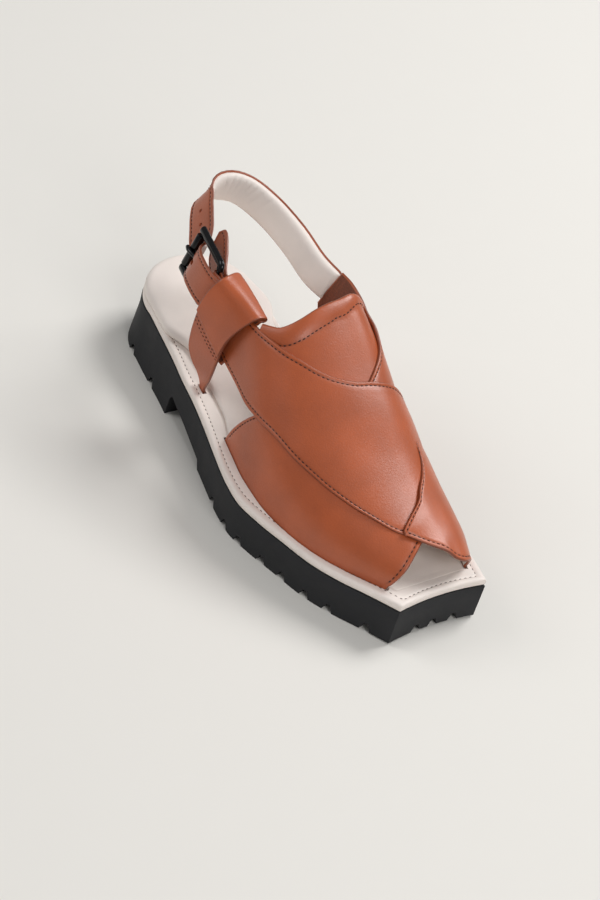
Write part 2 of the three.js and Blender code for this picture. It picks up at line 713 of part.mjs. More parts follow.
// Keeper: a wide loop of leather round the band's ankle end and the strap, on a leg that goes
// into the board. Its rows run from the fold at the top down to the slot.
const keeperRails = [
  [[0.324, -0.53, 3], [0.332, -0.527, 8.5], [0.335, -0.54, 12.8], [0.33, -0.6, 14.8], [0.325, -0.7, 15.4],
    [0.321, -0.77, 14], [0.316, -0.84, 12], [0.314, -0.9, 9.8], [0.326, -0.938, 7.4],
    [0.342, -0.962, 4.6], [0.351, -1, wall], [0.351, -footTurn, wall]],
  [[0.439, -0.478, 2.4], [0.437, -0.492, 4.8], [0.433, -0.53, 6.2], [0.42, -0.63, 7], [0.41, -0.71, 7],
    [0.407, -0.765, 6.8], [0.405, -0.81, 6.4], [0.401, -0.855, 5.6], [0.395, -0.9, 4.6],
    [0.385, -0.945, 3.2], [0.37, -1, wall], [0.37, -footTurn, wall]],
];

const keeperRows = 18;
const keeperColumns = 5;

// How far the loop's hollow keeps from the fold at its top, as a turn round the form
const foldTurn = (u) => 0.018 * (1 - ease(0.1, 0.3, u));

function keeperBlock(innerFace, outerFace, [from, to], [before, after], inset = () => 0) {
  const [rear, front] = keeperRails.map(rail);
  const grid = (face) => Array.from({ length: keeperRows + 1 }, (_, i) => {
    const u = mix(from, to, i / keeperRows);
    return Array.from({ length: keeperColumns + 1 }, (__, j) => {
      const at = rear(u).lerp(front(u), mix(before, after, j / keeperColumns));
      return offForm(at.x, at.y / 100 - inset(u), face(at.z, u)).toArray();
    });
  });
  return between(grid(innerFace), grid(outerFace));
}

// The leg alone, thickened by a clearance, as the tool that cuts its slot
function keeperLeg(room) {
  return keeperBlock((off) => off - wall - room, (off) => off + room, [0.86, 1.01], [-0.08, 1.08]);
}

function keeper() {
  const inside = (off, u) => mix(-slotRoom - wall, off - wall, ease(0.56, 0.7, u));
  const block = keeperBlock(inside, (off) => off, [0, 1], [0, 1]);
  const hollow = keeperBlock(() => -slotRoom, (off) => Math.max(0, off - wall), [0, 0.6], [-0.3, 1.3], foldTurn);
  return block.subtract(hollow);
}

const leather = { color: 0xa3532f, roughness: 0.48, metalness: 0 };
const finishes = {
  outsole: { color: 0x212327, roughness: 0.8, metalness: 0 },
  insole_board: { color: 0xf2e6df, roughness: 0.6, metalness: 0 },
  footbed: { color: 0xf6ebe7, roughness: 0.6, metalness: 0 },
  upper: leather,
  back_strap: leather,
  keeper: leather,
  buckle_chape: leather,
  buckle_frame: { color: 0x17181c, roughness: 0.25, metalness: 0.9 },
  buckle_roller: { color: 0x17181c, roughness: 0.25, metalness: 0.9 },
  buckle_prong: { color: 0x17181c, roughness: 0.25, metalness: 0.9 },
};

function meshOf(name, solid) {
  const { vertProperties, triVerts } = solid.getMesh();
  const geometry = new THREE.BufferGeometry();
  geometry.setAttribute('position', new THREE.BufferAttribute(new Float32Array(vertProperties), 3));
  geometry.setIndex(new THREE.BufferAttribute(new Uint32Array(triVerts), 1));
  const mesh = new THREE.Mesh(geometry, new THREE.MeshStandardMaterial(finishes[name]));
  mesh.name = name;
  return mesh;
}

const shoe = new THREE.Group();
shoe.add(
  meshOf('outsole', outsole()),
  meshOf('insole_board', insoleBoard()),
  meshOf('footbed', footbed()),
  meshOf('upper', upper()),
  meshOf('back_strap', backStrap()),
  meshOf('keeper', keeper()),
);

const buckle = new THREE.Group();
buckle.add(
  meshOf('buckle_chape', buckleChape()),
  meshOf('buckle_frame', buckleFrame()),
  meshOf('buckle_roller', buckleRoller()),
  meshOf('buckle_prong', buckleProng()),
);
buckleBasis.decompose(buckle.position, buckle.quaternion, buckle.scale);
shoe.add(buckle);

// The origin is on the floor, under the middle of the shoe
const box = new THREE.Box3().setFromObject(shoe);
shoe.position.set(-(box.min.x + box.max.x) / 2, -(box.min.y + box.max.y) / 2, -box.min.z);

export default shoe;
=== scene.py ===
"""Peshawari chappal, right shoe, dressed in its leathers, rubber and metal round the CAD frame.

Shapes are worked out in the shoemaker's pattern millimetres: x from the back of the heel to the toe,
y from the heel's middle line to the inner side, z up from the floor. They go into the meshes in
metres, in the row frame.
"""
import time
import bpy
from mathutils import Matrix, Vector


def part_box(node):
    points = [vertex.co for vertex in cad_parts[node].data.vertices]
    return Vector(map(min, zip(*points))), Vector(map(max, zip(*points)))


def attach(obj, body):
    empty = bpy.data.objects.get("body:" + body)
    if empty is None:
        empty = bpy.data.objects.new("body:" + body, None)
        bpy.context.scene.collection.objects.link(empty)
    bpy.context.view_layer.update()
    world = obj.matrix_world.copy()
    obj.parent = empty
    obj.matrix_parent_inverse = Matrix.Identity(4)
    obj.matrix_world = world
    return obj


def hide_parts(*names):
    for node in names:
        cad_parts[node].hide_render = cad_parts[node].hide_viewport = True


T0 = time.time()

import bpy
import numpy as np
from mathutils import Matrix, Vector

bl_info = {
    "name": "Peshawari chappal",
    "version": (1, 0, 0),
    "blender": (4, 5, 0),
    "location": "3D View > Sidebar > Chappal",
    "description": "Builds the leathers, stitches, rubber sole and buckle of a peshawari chappal",
    "category": "Add Mesh",
}

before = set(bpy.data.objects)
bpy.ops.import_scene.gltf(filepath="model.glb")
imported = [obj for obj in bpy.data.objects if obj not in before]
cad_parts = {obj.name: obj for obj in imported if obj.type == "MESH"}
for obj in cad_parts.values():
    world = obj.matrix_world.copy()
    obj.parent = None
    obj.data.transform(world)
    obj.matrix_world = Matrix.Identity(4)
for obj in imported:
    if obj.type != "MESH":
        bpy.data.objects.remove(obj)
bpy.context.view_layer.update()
MM = 0.001

# The outsole's lowest corner in pattern millimetres places the pattern in the row frame
PATTERN_CORNER = np.array([-2.597, -64.576, 0.0])
ORIGIN = PATTERN_CORNER - np.array(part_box("outsole")[0]) / MM

# Sizes that the CAD shapes are drawn from
LENGTH = 297
BALL = 113
HEEL_HEIGHT = 34
BALL_HEIGHT = 24.5
HEEL_ROUND = 37
ARCH_HEIGHT = 15
TOE_SPRING = 1.5
TOE_HOLLOW = 2.6
HEEL_FLARE = 2.6
LUG_DEPTH = 5.2
BOARD = 5
FIT = 0.3
INSTEP = 112
WALL = 2
TURN_MM = 100
STRAP_WIDTH = 22
STRAP_THICK = 2.6
STRAP_PAD = 3.2
SLOT_ROOM = 0.45


def ease(start, end, value):
    t = np.clip((value - start) / (end - start), 0, 1)
    return t * t * (3 - 2 * t)


def mix(a, b, t):
    return a + (b - a) * t


def unit(vectors):
    return vectors / np.maximum(np.linalg.norm(vectors, axis=-1, keepdims=True), 1e-9)


def column(rows, index):
    """A smooth curve through one column of a table that never swings past its rows."""
    x, y = (np.array([row[k] for row in rows], float) for k in (0, index))
    slope = np.diff(y) / np.diff(x)
    before, after = np.r_[slope[0], slope], np.r_[slope, slope[-1]]
    rising = before * after > 0
    tangent = np.where(rising, 2 * before * after / np.where(rising, before + after, 1), 0)

    def at(value):
        here = np.clip(value, x[0], x[-1])
        i = np.clip(np.searchsorted(x, here) - 1, 0, len(x) - 2)
        span = x[i + 1] - x[i]
        t = (here - x[i]) / span
        return ((1 + 2 * t) * (1 - t) ** 2 * y[i] + t * (1 - t) ** 2 * span * tangent[i]
                + t * t * (3 - 2 * t) * y[i + 1] + t * t * (t - 1) * span * tangent[i + 1])

    return at


def spline(points, t, even=False):
    """A curve through points, read at t from 0 to 1."""
    p = np.asarray(points, float)
    last = len(p) - 1
    place = np.clip(t, 0, 1) * last
    i = np.minimum(place.astype(int), last - 1)
    w = (place - i)[..., None]
    ends = np.vstack([2 * p[0] - p[1], p, 2 * p[-1] - p[-2]])
    p0, p1, p2, p3 = ends[i], ends[i + 1], ends[i + 2], ends[i + 3]
    if even:
        m1, m2 = (p2 - p0) / 2, (p3 - p1) / 2
    else:
        d0, d1, d2 = (((b - a) ** 2).sum(-1, keepdims=True) ** 0.25
                      for a, b in ((p0, p1), (p1, p2), (p2, p3)))
        m1 = ((p1 - p0) / d0 - (p2 - p0) / (d0 + d1) + (p2 - p1) / d1) * d1
        m2 = ((p2 - p1) / d1 - (p3 - p1) / (d1 + d2) + (p3 - p2) / d2) * d1
    return p1 + w * (m1 + w * (3 * (p2 - p1) - 2 * m1 - m2 + w * (2 * (p1 - p2) + m1 + m2)))


# Plan of the sole: share of the length, then shares of the ball width to each side
PLAN = [
    (0.125, 0.33, 0.325), (0.17, 0.351, 0.336), (0.26, 0.387, 0.32), (0.31, 0.412, 0.303),
    (0.375, 0.436, 0.292), (0.45, 0.477, 0.312), (0.52, 0.522, 0.354), (0.59, 0.562, 0.4),
    (0.64, 0.575, 0.423), (0.7, 0.545, 0.432), (0.76, 0.496, 0.425), (0.83, 0.438, 0.408),
    (0.885, 0.37, 0.392), (0.94, 0.284, 0.376), (1, 0.198, 0.342),
]
OUTER, INNER = column(PLAN, 1), column(PLAN, 2)
PROFILE = [(0, 1), (0.15, 0.98), (0.27, 0.78), (0.4, 0.45), (0.54, 0.19), (0.68, 0.02),
           (0.8, -0.07), (0.9, 0.01), (1, 0.17)]
RISE = column(PROFILE, 1)


def rubber_top(x):
    return BALL_HEIGHT + (HEEL_HEIGHT - BALL_HEIGHT) * RISE(x / LENGTH)


def board_top(x):
    return rubber_top(x) + FIT + BOARD


def rubber_bottom(x):
    return TOE_SPRING * ease(0.86, 1, x / LENGTH) ** 2


def sole_side(x, share):
    turn = np.where(x < HEEL_ROUND, np.sqrt(np.clip(1 - (1 - x / HEEL_ROUND) ** 2, 0, 1)), 1)
    return share(x / LENGTH) * BALL * turn


STATIONS = np.r_[HEEL_ROUND * (1 - np.cos(np.linspace(0.08, 1.42, 15))),
                 np.linspace(HEEL_ROUND, LENGTH, 66)]


def plan_rows(rows, outer, inner, back_bow, front_bow, columns=14):
    """Rows of points across the shoe, bowed at the back of the heel and at the hollow toe."""
    t = np.linspace(0, 1, columns + 1)
    bow = np.zeros(len(rows))
    bow[0], bow[-1] = back_bow, front_bow
    x = rows[:, None] + bow[:, None] * (1 - (2 * t - 1) ** 2)
    return np.stack([x, mix(-outer[:, None], inner[:, None], t)], -1)


def inset_rows(stations, outer, inner, by, front):
    """A plan drawn in by a distance: the round heel shrinks about its centre, the toe moves back."""
    turn = np.where(stations < HEEL_ROUND, np.sqrt(np.clip(1 - (1 - stations / HEEL_ROUND) ** 2, 0, 1)), 1)
    rows = np.where(stations < HEEL_ROUND,
                    HEEL_ROUND - (HEEL_ROUND - stations) * (1 - by / HEEL_ROUND),
                    stations - by * (stations - HEEL_ROUND) / (front - HEEL_ROUND))
    return rows, (outer - by) * turn, (inner - by) * turn


def sole_rows(inset):
    """The sole's plan, drawn in by a distance or by a function of x."""
    by = inset(STATIONS) if callable(inset) else np.full_like(STATIONS, inset)
    widths = [share(STATIONS / LENGTH) * BALL for share in (OUTER, INNER)]
    rows, outer, inner = inset_rows(STATIONS, *widths, by, LENGTH)
    return plan_rows(rows, outer, inner, by[0] - rows[0], -TOE_HOLLOW)


def raised(plan, height):
    return np.concatenate([plan, height(plan[..., :1])], -1)


# The foot's form: share of the length, outer and inner half widths, height, crown, inner fullness
FORM = [
    (0.2, 0.301, 0.265, 1, 0.018, 0.75), (0.27, 0.327, 0.257, 0.973, 0.018, 0.7),
    (0.337, 0.345, 0.252, 0.929, 0.022, 0.65), (0.404, 0.367, 0.25, 0.866, 0.031, 0.6),
    (0.471, 0.398, 0.272, 0.786, 0.044, 0.54), (0.539, 0.434, 0.312, 0.688, 0.058, 0.6),
    (0.606, 0.465, 0.35, 0.585, 0.062, 0.76), (0.673, 0.473, 0.36, 0.491, 0.062, 0.9),
    (0.741, 0.447, 0.367, 0.406, 0.062, 0.97), (0.808, 0.394, 0.35, 0.326, 0.066, 0.98),
    (0.875, 0.305, 0.327, 0.25, 0.071, 0.94), (0.946, 0.186, 0.283, 0.165, 0.071, 0.88),
    (1, 0.106, 0.23, 0.107, 0.071, 0.85),
]
FORM_OUTER, FORM_INNER, FORM_HEIGHT, FORM_CROWN, FORM_FULL = (column(FORM, k) for k in range(1, 6))
FULLNESS = 0.85


def form_point(x, turn):
    """A point on the form, which turns from the outer side (-1) over the crown to the inner (1)."""
    share = x / LENGTH
    angle = np.minimum(1, np.abs(turn)) * np.pi / 2
    crown = FORM_CROWN(share) * BALL
    side = np.where(turn < 0, -FORM_OUTER(share), FORM_INNER(share)) * BALL
    swell = np.where(turn < 0, FULLNESS, FORM_FULL(share))
    y = crown + (side - crown) * np.sin(angle) ** swell
    base = board_top(x) + 3 * ease(0.86, 1, share)
    z = base + FORM_HEIGHT(share) * INSTEP * np.clip(np.cos(angle), 0, 1) ** FULLNESS
    return np.stack([x, y, z - np.maximum(0, np.abs(turn) - 1) * TURN_MM], -1)


def off_form(x, turn, distance):
    """A point that stands off the form by a distance, square to it."""
    x, turn = np.broadcast_arrays(np.asarray(x, float), np.asarray(turn, float))
    step = 0.004
    here = np.clip(turn, step - 1, 1 - step)
    along = form_point(x + 1, here) - form_point(x - 1, here)
    around = form_point(x, here + step) - form_point(x, here - step)
    normal = unit(np.cross(along, around))
    side = np.stack([np.zeros_like(x), np.sign(turn), np.zeros_like(x)], -1)
    normal = np.where((np.abs(turn) > 1 - step)[..., None], side, normal)
    return form_point(x, turn) + normal * np.asarray(distance)[..., None]


def rail(rows):
    """Rows of [share of the length, turn round the form, distance off it] as curve points."""
    return np.array([(row[0] * LENGTH, row[1] * TURN_MM, row[2] if len(row) > 2 else 0)
                     for row in rows])


def between_rails(rails, u, v, stand):
    first, second = (spline(rail(rows), u) for rows in rails)
    at = mix(first, second, np.asarray(v)[..., None])
    return off_form(at[..., 0], at[..., 1] / TURN_MM, at[..., 2] + stand)


def linear(code):
    """An sRGB hex colour as linear red, green and blue."""
    parts = [int(code[k:k + 2], 16) / 255 for k in (1, 3, 5)]
    return tuple(c / 12.92 if c <= 0.04045 else ((c + 0.055) / 1.055) ** 2.4 for c in parts)


def colour_property(name, description, code):
    return bpy.props.FloatVectorProperty(name=name, description=description, subtype="COLOR",
                                         size=3, min=0, max=1, default=linear(code))


def size_property(name, description, millimetres):
    return bpy.props.FloatProperty(name=name, description=description, subtype="DISTANCE",
                                   unit="LENGTH", min=0, default=millimetres * MM, precision=5)


class ChappalSizes(bpy.types.PropertyGroup):
    wall: size_property("Leather", "Thickness of the upper's leather", 2)
    seam_inset: size_property("Seam inset", "From a leather's edge to its row of stitches", 2.7)
    stitch_pitch: size_property("Stitch pitch", "From one stitch of the upper to the next", 2.9)
    stitch_length: size_property("Stitch length", "Thread showing in one stitch of the upper", 2)
    thread: size_property("Thread", "Thickness of the thread", 0.75)
    rim_pitch: size_property("Rim stitch pitch", "From one stitch of the board's rim to the next", 3.3)
    rim_inset: size_property("Rim inset", "From the board's edge to its row of stitches", 4.6)
    hole: size_property("Strap hole", "Diameter of the holes in the strap", 2.6)


class ChappalColours(bpy.types.PropertyGroup):
    leather: colour_property("Leather", "Cognac aniline leather", "#b75729")
    flesh: colour_property("Flesh side", "Suede back of the leather", "#7d3f24")
    cream: colour_property("Cream", "Cream leather of the board, footbed and linings", "#f3e8e0")
    thread: colour_property("Thread", "Dark brown thread of the upper", "#36130a")
    rim_thread: colour_property("Rim thread", "Grey-brown thread of the board's rim", "#6b5a50")
    rubber: colour_property("Rubber", "Black moulded rubber", "#15161a")
    metal: colour_property("Metal", "Gunmetal plate of the buckle", "#0b0b0e")
    floor: colour_property("Floor", "Plain pale floor", "#e7e4de")


def add_node(tree, kind, links=(), inputs=(), **settings):
    """Add a node, set its settings and inputs, and link sockets into its inputs."""
    node = tree.nodes.new(kind)
    for key, value in settings.items():
        setattr(node, key, value)
    for key, value in dict(inputs).items():
        node.inputs[key].default_value = value
    for key, socket in dict(links).items():
        tree.links.new(socket, node.inputs[key])
    return node


def ramp(tree, factor, low, high, start=0.0, end=1.0):
    """A colour that runs from low to high as the factor goes from start to end."""
    node = add_node(tree, "ShaderNodeValToRGB", {"Fac": factor})
    for stop, place, colour in zip(node.color_ramp.elements, (start, end), (low, high)):
        stop.position, stop.color = place, (*colour, 1)
    return node.outputs["Color"]


def shade(colour, share):
    return tuple(min(1, c * share) for c in colour)


def finish(name, build):
    """A material made once: build(tree, shader, position) fills in its nodes."""
    material = bpy.data.materials.get(name)
    if material is None:
        material = bpy.data.materials.new(name)
        material.use_nodes = True
        tree = material.node_tree
        place = add_node(tree, "ShaderNodeTexCoord").outputs["Object"]
        build(tree, tree.nodes["Principled BSDF"], place)
    return material


def grain(tree, place, pebble_mm, height_mm, fine_mm=0.3):
    """Bump of leather grain: pebbles of a real size with finer pores between them."""
    pebbles = add_node(tree, "ShaderNodeTexVoronoi", {"Vector": place},
                       {"Scale": 1 / (pebble_mm * MM), "Randomness": 1}, feature="SMOOTH_F1")
    pores = add_node(tree, "ShaderNodeTexNoise", {"Vector": place},
                     {"Scale": 1 / (fine_mm * MM), "Detail": 3})
    rough = add_node(tree, "ShaderNodeMath", {0: pebbles.outputs["Distance"], 1: pores.outputs["Fac"]},
                     operation="ADD")
    bump = add_node(tree, "ShaderNodeBump", {"Height": rough.outputs[0]},
                    {"Strength": 1, "Distance": height_mm * MM})
    return bump.outputs["Normal"]


def cognac_leather():
    """Aniline calf leather, glazed: a clear warm brown with a broad soft sheen over fine pores."""
    colour = tuple(bpy.context.scene.chappal_colours.leather)

    def build(tree, shader, place):
        clouds = add_node(tree, "ShaderNodeTexNoise", {"Vector": place}, {"Scale": 1 / (28 * MM), "Detail": 4})
        dyed = ramp(tree, clouds.outputs["Fac"], shade(colour, 0.86), shade(colour, 1.12), 0.3, 0.72)
        specks = add_node(tree, "ShaderNodeTexNoise", {"Vector": place}, {"Scale": 1 / (0.9 * MM), "Detail": 2})
        flecked = add_node(tree, "ShaderNodeMix", {"A": dyed, "Factor": specks.outputs["Fac"]},
                           data_type="RGBA", blend_type="MULTIPLY")
        flecked.inputs["B"].default_value = (0.86, 0.84, 0.82, 1)
        # Colour turns darker towards each edge and along each row of stitches, as the mesh attribute sets.
        worn = add_node(tree, "ShaderNodeAttribute", attribute_name="edge_and_seam_darkening")
        edge = add_node(tree, "ShaderNodeMix", {"Factor": worn.outputs["Fac"], "A": flecked.outputs["Result"]},
                        data_type="RGBA")
        edge.inputs["B"].default_value = (*shade(colour, 0.36), 1)
        sheen = add_node(tree, "ShaderNodeMapRange", {"Value": specks.outputs["Fac"]},
                         {"To Min": 0.34, "To Max": 0.5})
        tree.links.new(edge.outputs["Result"], shader.inputs["Base Color"])
        tree.links.new(sheen.outputs["Result"], shader.inputs["Roughness"])
        tree.links.new(grain(tree, place, 0.9, 0.07), shader.inputs["Normal"])
        shader.inputs["IOR"].default_value = 1.55
        shader.inputs["Coat Weight"].default_value = 0.3
        shader.inputs["Coat Roughness"].default_value = 0.28

    return finish("cognac_aniline_leather", build)


def suede():
    """The flesh side of the same hide: napped, dull and a little darker."""
    colour = tuple(bpy.context.scene.chappal_colours.flesh)

    def build(tree, shader, place):
        nap = add_node(tree, "ShaderNodeTexNoise", {"Vector": place}, {"Scale": 1 / (1.3 * MM), "Detail": 6})
        tree.links.new(ramp(tree, nap.outputs["Fac"], shade(colour, 0.75), shade(colour, 1.25), 0.3, 0.7),
                       shader.inputs["Base Color"])
        tree.links.new(grain(tree, place, 0.7, 0.12), shader.inputs["Normal"])
        shader.inputs["Roughness"].default_value = 0.95
        shader.inputs["Sheen Weight"].default_value = 0.25

    return finish("brown_suede_flesh_side", build)


def cream_leather():
    """Pigmented sheepskin, matt and soft: nearly even cream with faint warm clouds."""
    colour = tuple(bpy.context.scene.chappal_colours.cream)

    def build(tree, shader, place):
        clouds = add_node(tree, "ShaderNodeTexNoise", {"Vector": place}, {"Scale": 1 / (22 * MM), "Detail": 5})
        even = ramp(tree, clouds.outputs["Fac"], shade(colour, 0.95), shade(colour, 1.02), 0.3, 0.7)
        # Colour turns darker towards each edge and along each row of stitches, as the mesh attribute sets.
        worn = add_node(tree, "ShaderNodeAttribute", attribute_name="edge_and_seam_darkening")
        edge = add_node(tree, "ShaderNodeMix", {"Factor": worn.outputs["Fac"], "A": even}, data_type="RGBA")
        edge.inputs["B"].default_value = (*shade(colour, 0.62), 1)
        tree.links.new(edge.outputs["Result"], shader.inputs["Base Color"])
        tree.links.new(grain(tree, place, 0.9, 0.035), shader.inputs["Normal"])
        shader.inputs["Roughness"].default_value = 0.52
        shader.inputs["IOR"].default_value = 1.48

    return finish("cream_sheepskin", build)


def waxed_thread(name, colour):
    """Waxed linen thread: two twisted plies, drawn as diagonal bands of painted highlight and painted shade."""
    def build(tree, shader, place):
        # Lighter and darker diagonal bands: painted highlight on each ply and painted shade between the plies.
        painted_ply_shade = add_node(tree, "ShaderNodeTexWave", {"Vector": place}, {"Scale": 1 / (1.2 * MM), "Distortion": 1},
                         bands_direction="DIAGONAL")
        tree.links.new(ramp(tree, painted_ply_shade.outputs["Fac"], shade(colour, 0.7), shade(colour, 1.2)),
                       shader.inputs["Base Color"])
        shader.inputs["Roughness"].default_value = 0.6

    return finish(name, build)


def moulded_rubber():
    """Moulded nitrile rubber: black, matt, with the fine spark texture of its mould."""
    colour = tuple(bpy.context.scene.chappal_colours.rubber)

    def build(tree, shader, place):
        dust = add_node(tree, "ShaderNodeTexNoise", {"Vector": place}, {"Scale": 1 / (9 * MM), "Detail": 6})
        tree.links.new(ramp(tree, dust.outputs["Fac"], shade(colour, 0.85), shade(colour, 1.25), 0.35, 0.75),
                       shader.inputs["Base Color"])
        gloss = add_node(tree, "ShaderNodeMapRange", {"Value": dust.outputs["Fac"]},
                         {"To Min": 0.6, "To Max": 0.8})
        tree.links.new(gloss.outputs["Result"], shader.inputs["Roughness"])
        tree.links.new(grain(tree, place, 0.8, 0.05), shader.inputs["Normal"])
        shader.inputs["IOR"].default_value = 1.52

    return finish("moulded_black_rubber", build)


def gunmetal():
    """Black nickel plate over polished zinc: near-mirror dark metal with fine handling marks."""
    colour = tuple(bpy.context.scene.chappal_colours.metal)

    def build(tree, shader, place):
        marks = add_node(tree, "ShaderNodeTexNoise", {"Vector": place}, {"Scale": 1 / (3 * MM), "Detail": 8})
        tree.links.new(ramp(tree, marks.outputs["Fac"], shade(colour, 0.8), shade(colour, 1.15), 0.3, 0.7),
                       shader.inputs["Base Color"])
        gloss = add_node(tree, "ShaderNodeMapRange", {"Value": marks.outputs["Fac"]},
                         {"To Min": 0.12, "To Max": 0.26})
        tree.links.new(gloss.outputs["Result"], shader.inputs["Roughness"])
        shader.inputs["Metallic"].default_value = 0.3

    return finish("black_nickel_plate", build)


def brown_thread():
    return waxed_thread("brown_waxed_thread", tuple(bpy.context.scene.chappal_colours.thread))


def rim_thread():
    return waxed_thread("grey_waxed_thread", tuple(bpy.context.scene.chappal_colours.rim_thread))


def volume(points, faces):
    corners = np.array([(face[0], b, c) for face in faces for b, c in zip(face[1:-1], face[2:])])
    a, b, c = (points[corners[:, k]] for k in range(3))
    return (a * np.cross(b, c)).sum()


def make_piece(name, points, faces, materials, kinds=None, edge_and_seam_darkening=None):
    """A mesh object from pattern points, its faces turned outwards and shaded smooth."""
    points = np.asarray(points, float).reshape(-1, 3)
    faces = [list(map(int, face)) for face in faces]
    if volume(points - points.mean(0), faces) < 0:
        faces = [face[::-1] for face in faces]
    mesh = bpy.data.meshes.new(name)
    mesh.from_pydata(((points - ORIGIN) * MM).tolist(), [], faces)
    for material in materials:
        mesh.materials.append(material)
    if kinds is not None:
        mesh.polygons.foreach_set("material_index", np.asarray(kinds, np.int32))
    if edge_and_seam_darkening is not None:
        layer = mesh.attributes.new("edge_and_seam_darkening", "FLOAT", "POINT")
        layer.data.foreach_set("value", np.asarray(edge_and_seam_darkening, np.float32).ravel())
    mesh.shade_smooth()
    mesh.update()
    piece = bpy.data.objects.new(name, mesh)
    bpy.context.collection.objects.link(piece)
    return piece


def quads(index):
    return np.stack([index[:-1, :-1], index[1:, :-1], index[1:, 1:], index[:-1, 1:]], -1).reshape(-1, 4)


def border(index):
    return np.r_[index[:, 0], index[-1, 1:], index[-2::-1, -1], index[0, -2:0:-1]]


def lengths(points, axis):
    """Distance along each grid line from its start."""
    steps = np.linalg.norm(np.diff(points, axis=axis), axis=-1)
    return np.concatenate([np.zeros_like(steps.take([0], axis)), steps.cumsum(axis)], axis)


# Distances from an edge, in millimetres, where grid lines lie: close together on the rounded edge
# and round the row of stitches
NEAR_EDGE = np.array([0, 0.06, 0.25, 0.55, 1, 1.6, 2.2, 2.7, 3.2, 4])


def spread(total, count):
    fine = NEAR_EDGE * min(1, total / (2.5 * NEAR_EDGE[-1]))
    return np.r_[fine, np.linspace(fine[-1], total - fine[-1], count + 2)[1:-1], total - fine[::-1]]


def lay_grid(surface, step=3.0):
    """Shares u and v of a surface whose grid lines are close together at its edges."""
    line = np.linspace(0, 1, 161)
    run = lengths(surface(line, np.full_like(line, 0.5)), 0)
    u = np.interp(spread(run[-1], int(run[-1] / step)), run, line)
    line = np.linspace(0, 1, 49)
    runs = lengths(surface(u[:, None] + 0 * line, 0 * u[:, None] + line), 1)
    count = int(runs[:, -1].max() / step)
    v = np.array([np.interp(spread(row[-1], count), row, line) for row in runs])
    return u[:, None] + 0 * v, v


class Sheet:
    """A leather of even thickness on a middle surface, with rounded edges and pressed seams.

    surface(u, v) gives pattern points, towards(u, v) a direction that its outer face looks in,
    and relief(u, v, first, second, start, end) what stands proud, from the distances to its
    four edges. seams lists (edge, inset, from, to) with the shares of that edge that are sewn.
    """

    def __init__(self, surface, towards, wall, seams=(), relief=None, step=3.0):
        u, v = lay_grid(surface, step)
        self.u, self.v = u, v
        mid = surface(u, v)
        normal = unit(np.cross(np.gradient(mid, axis=0), np.gradient(mid, axis=1)))
        facing = np.sign((normal * towards(u, v)).sum(-1).mean())
        normal = normal * facing
        first, start = lengths(mid, 1), lengths(mid, 0)
        second, end = first[:, -1:] - first, start[-1:] - start
        self.edges = {"first": first, "second": second, "start": start, "end": end}
        nearest = np.minimum.reduce([first, second, start, end])
        rounding = np.sqrt(1 - (1 - np.clip(nearest / (wall / 2), 0, 1)) ** 2)
        proud = 0.12 * np.exp(-((nearest - 1.3) / 0.5) ** 2)
        # Colour turns darker within 0.9 mm of each edge and, below, along each row of stitches.
        self.edge_and_seam_darkening = np.clip(1 - nearest / 0.9, 0, 1)
        for edge, inset, low, high in seams:
            across = self.edges[edge]
            place = u if edge in ("first", "second") else v
            at = inset(u) if callable(inset) else inset
            sewn = np.exp(-((across - at) / 0.6) ** 2) * (place >= low) * (place <= high)
            proud = proud - 0.3 * sewn
            self.edge_and_seam_darkening = np.maximum(self.edge_and_seam_darkening, 0.35 * sewn)
        if relief is not None:
            proud = proud + relief(u, v, first, second, start, end)
        self.normal = normal
        self.outer = mid + normal * ((wall / 2 + proud) * rounding)[..., None]
        self.inner = mid - normal * (wall / 2 * rounding)[..., None]
        self.nearest = nearest
        self.seams = seams

    def piece(self, name, leather, lining):
        rows, across = self.nearest.shape
        outer = np.arange(rows * across).reshape(rows, across)
        inner = outer.copy()
        inside = (rows - 2) * (across - 2)
        inner[1:-1, 1:-1] = rows * across + np.arange(inside).reshape(rows - 2, across - 2)
        points = np.vstack([self.outer.reshape(-1, 3), self.inner[1:-1, 1:-1].reshape(-1, 3)])
        front, back = quads(outer), quads(inner)[:, ::-1]
        deep = self.nearest.ravel()[quads(outer)].min(-1) > 0.9
        kinds = np.r_[np.zeros(len(front), int), deep.astype(int)]
        # The inner face takes half of the darkening.
        edge_and_seam_darkening = np.r_[self.edge_and_seam_darkening.ravel(), self.edge_and_seam_darkening[1:-1, 1:-1].ravel() * 0.5]
        return make_piece(name, points, [*front, *back], [leather, lining], kinds, edge_and_seam_darkening)

    def seam_paths(self):
        """Lines of stitches on the outer face, a little under its surface."""
        paths = []
        for edge, inset, low, high in self.seams:
            across, face, place = self.edges[edge], self.outer, self.u
            if edge in ("start", "end"):
                across, face, place = across.T, face.transpose(1, 0, 2), self.v.T
            if edge in ("second", "end"):
                across, face = across[:, ::-1], face[:, ::-1]
            at = inset(place[:, 0]) if callable(inset) else np.full(len(place), inset)
            line = np.array([[np.interp(here, row, points[:, k]) for k in range(3)]
                             for here, row, points in zip(at, across, face)])
            kept = (place[:, len(place[0]) // 2] >= low) & (place[:, len(place[0]) // 2] <= high)
            line = line[kept]
            run = lengths(line, 0)
            inside = (run > 1.5) & (run < run[-1] - 1.5)
            if inside.sum() > 3:
                paths.append(line[inside])
        return paths


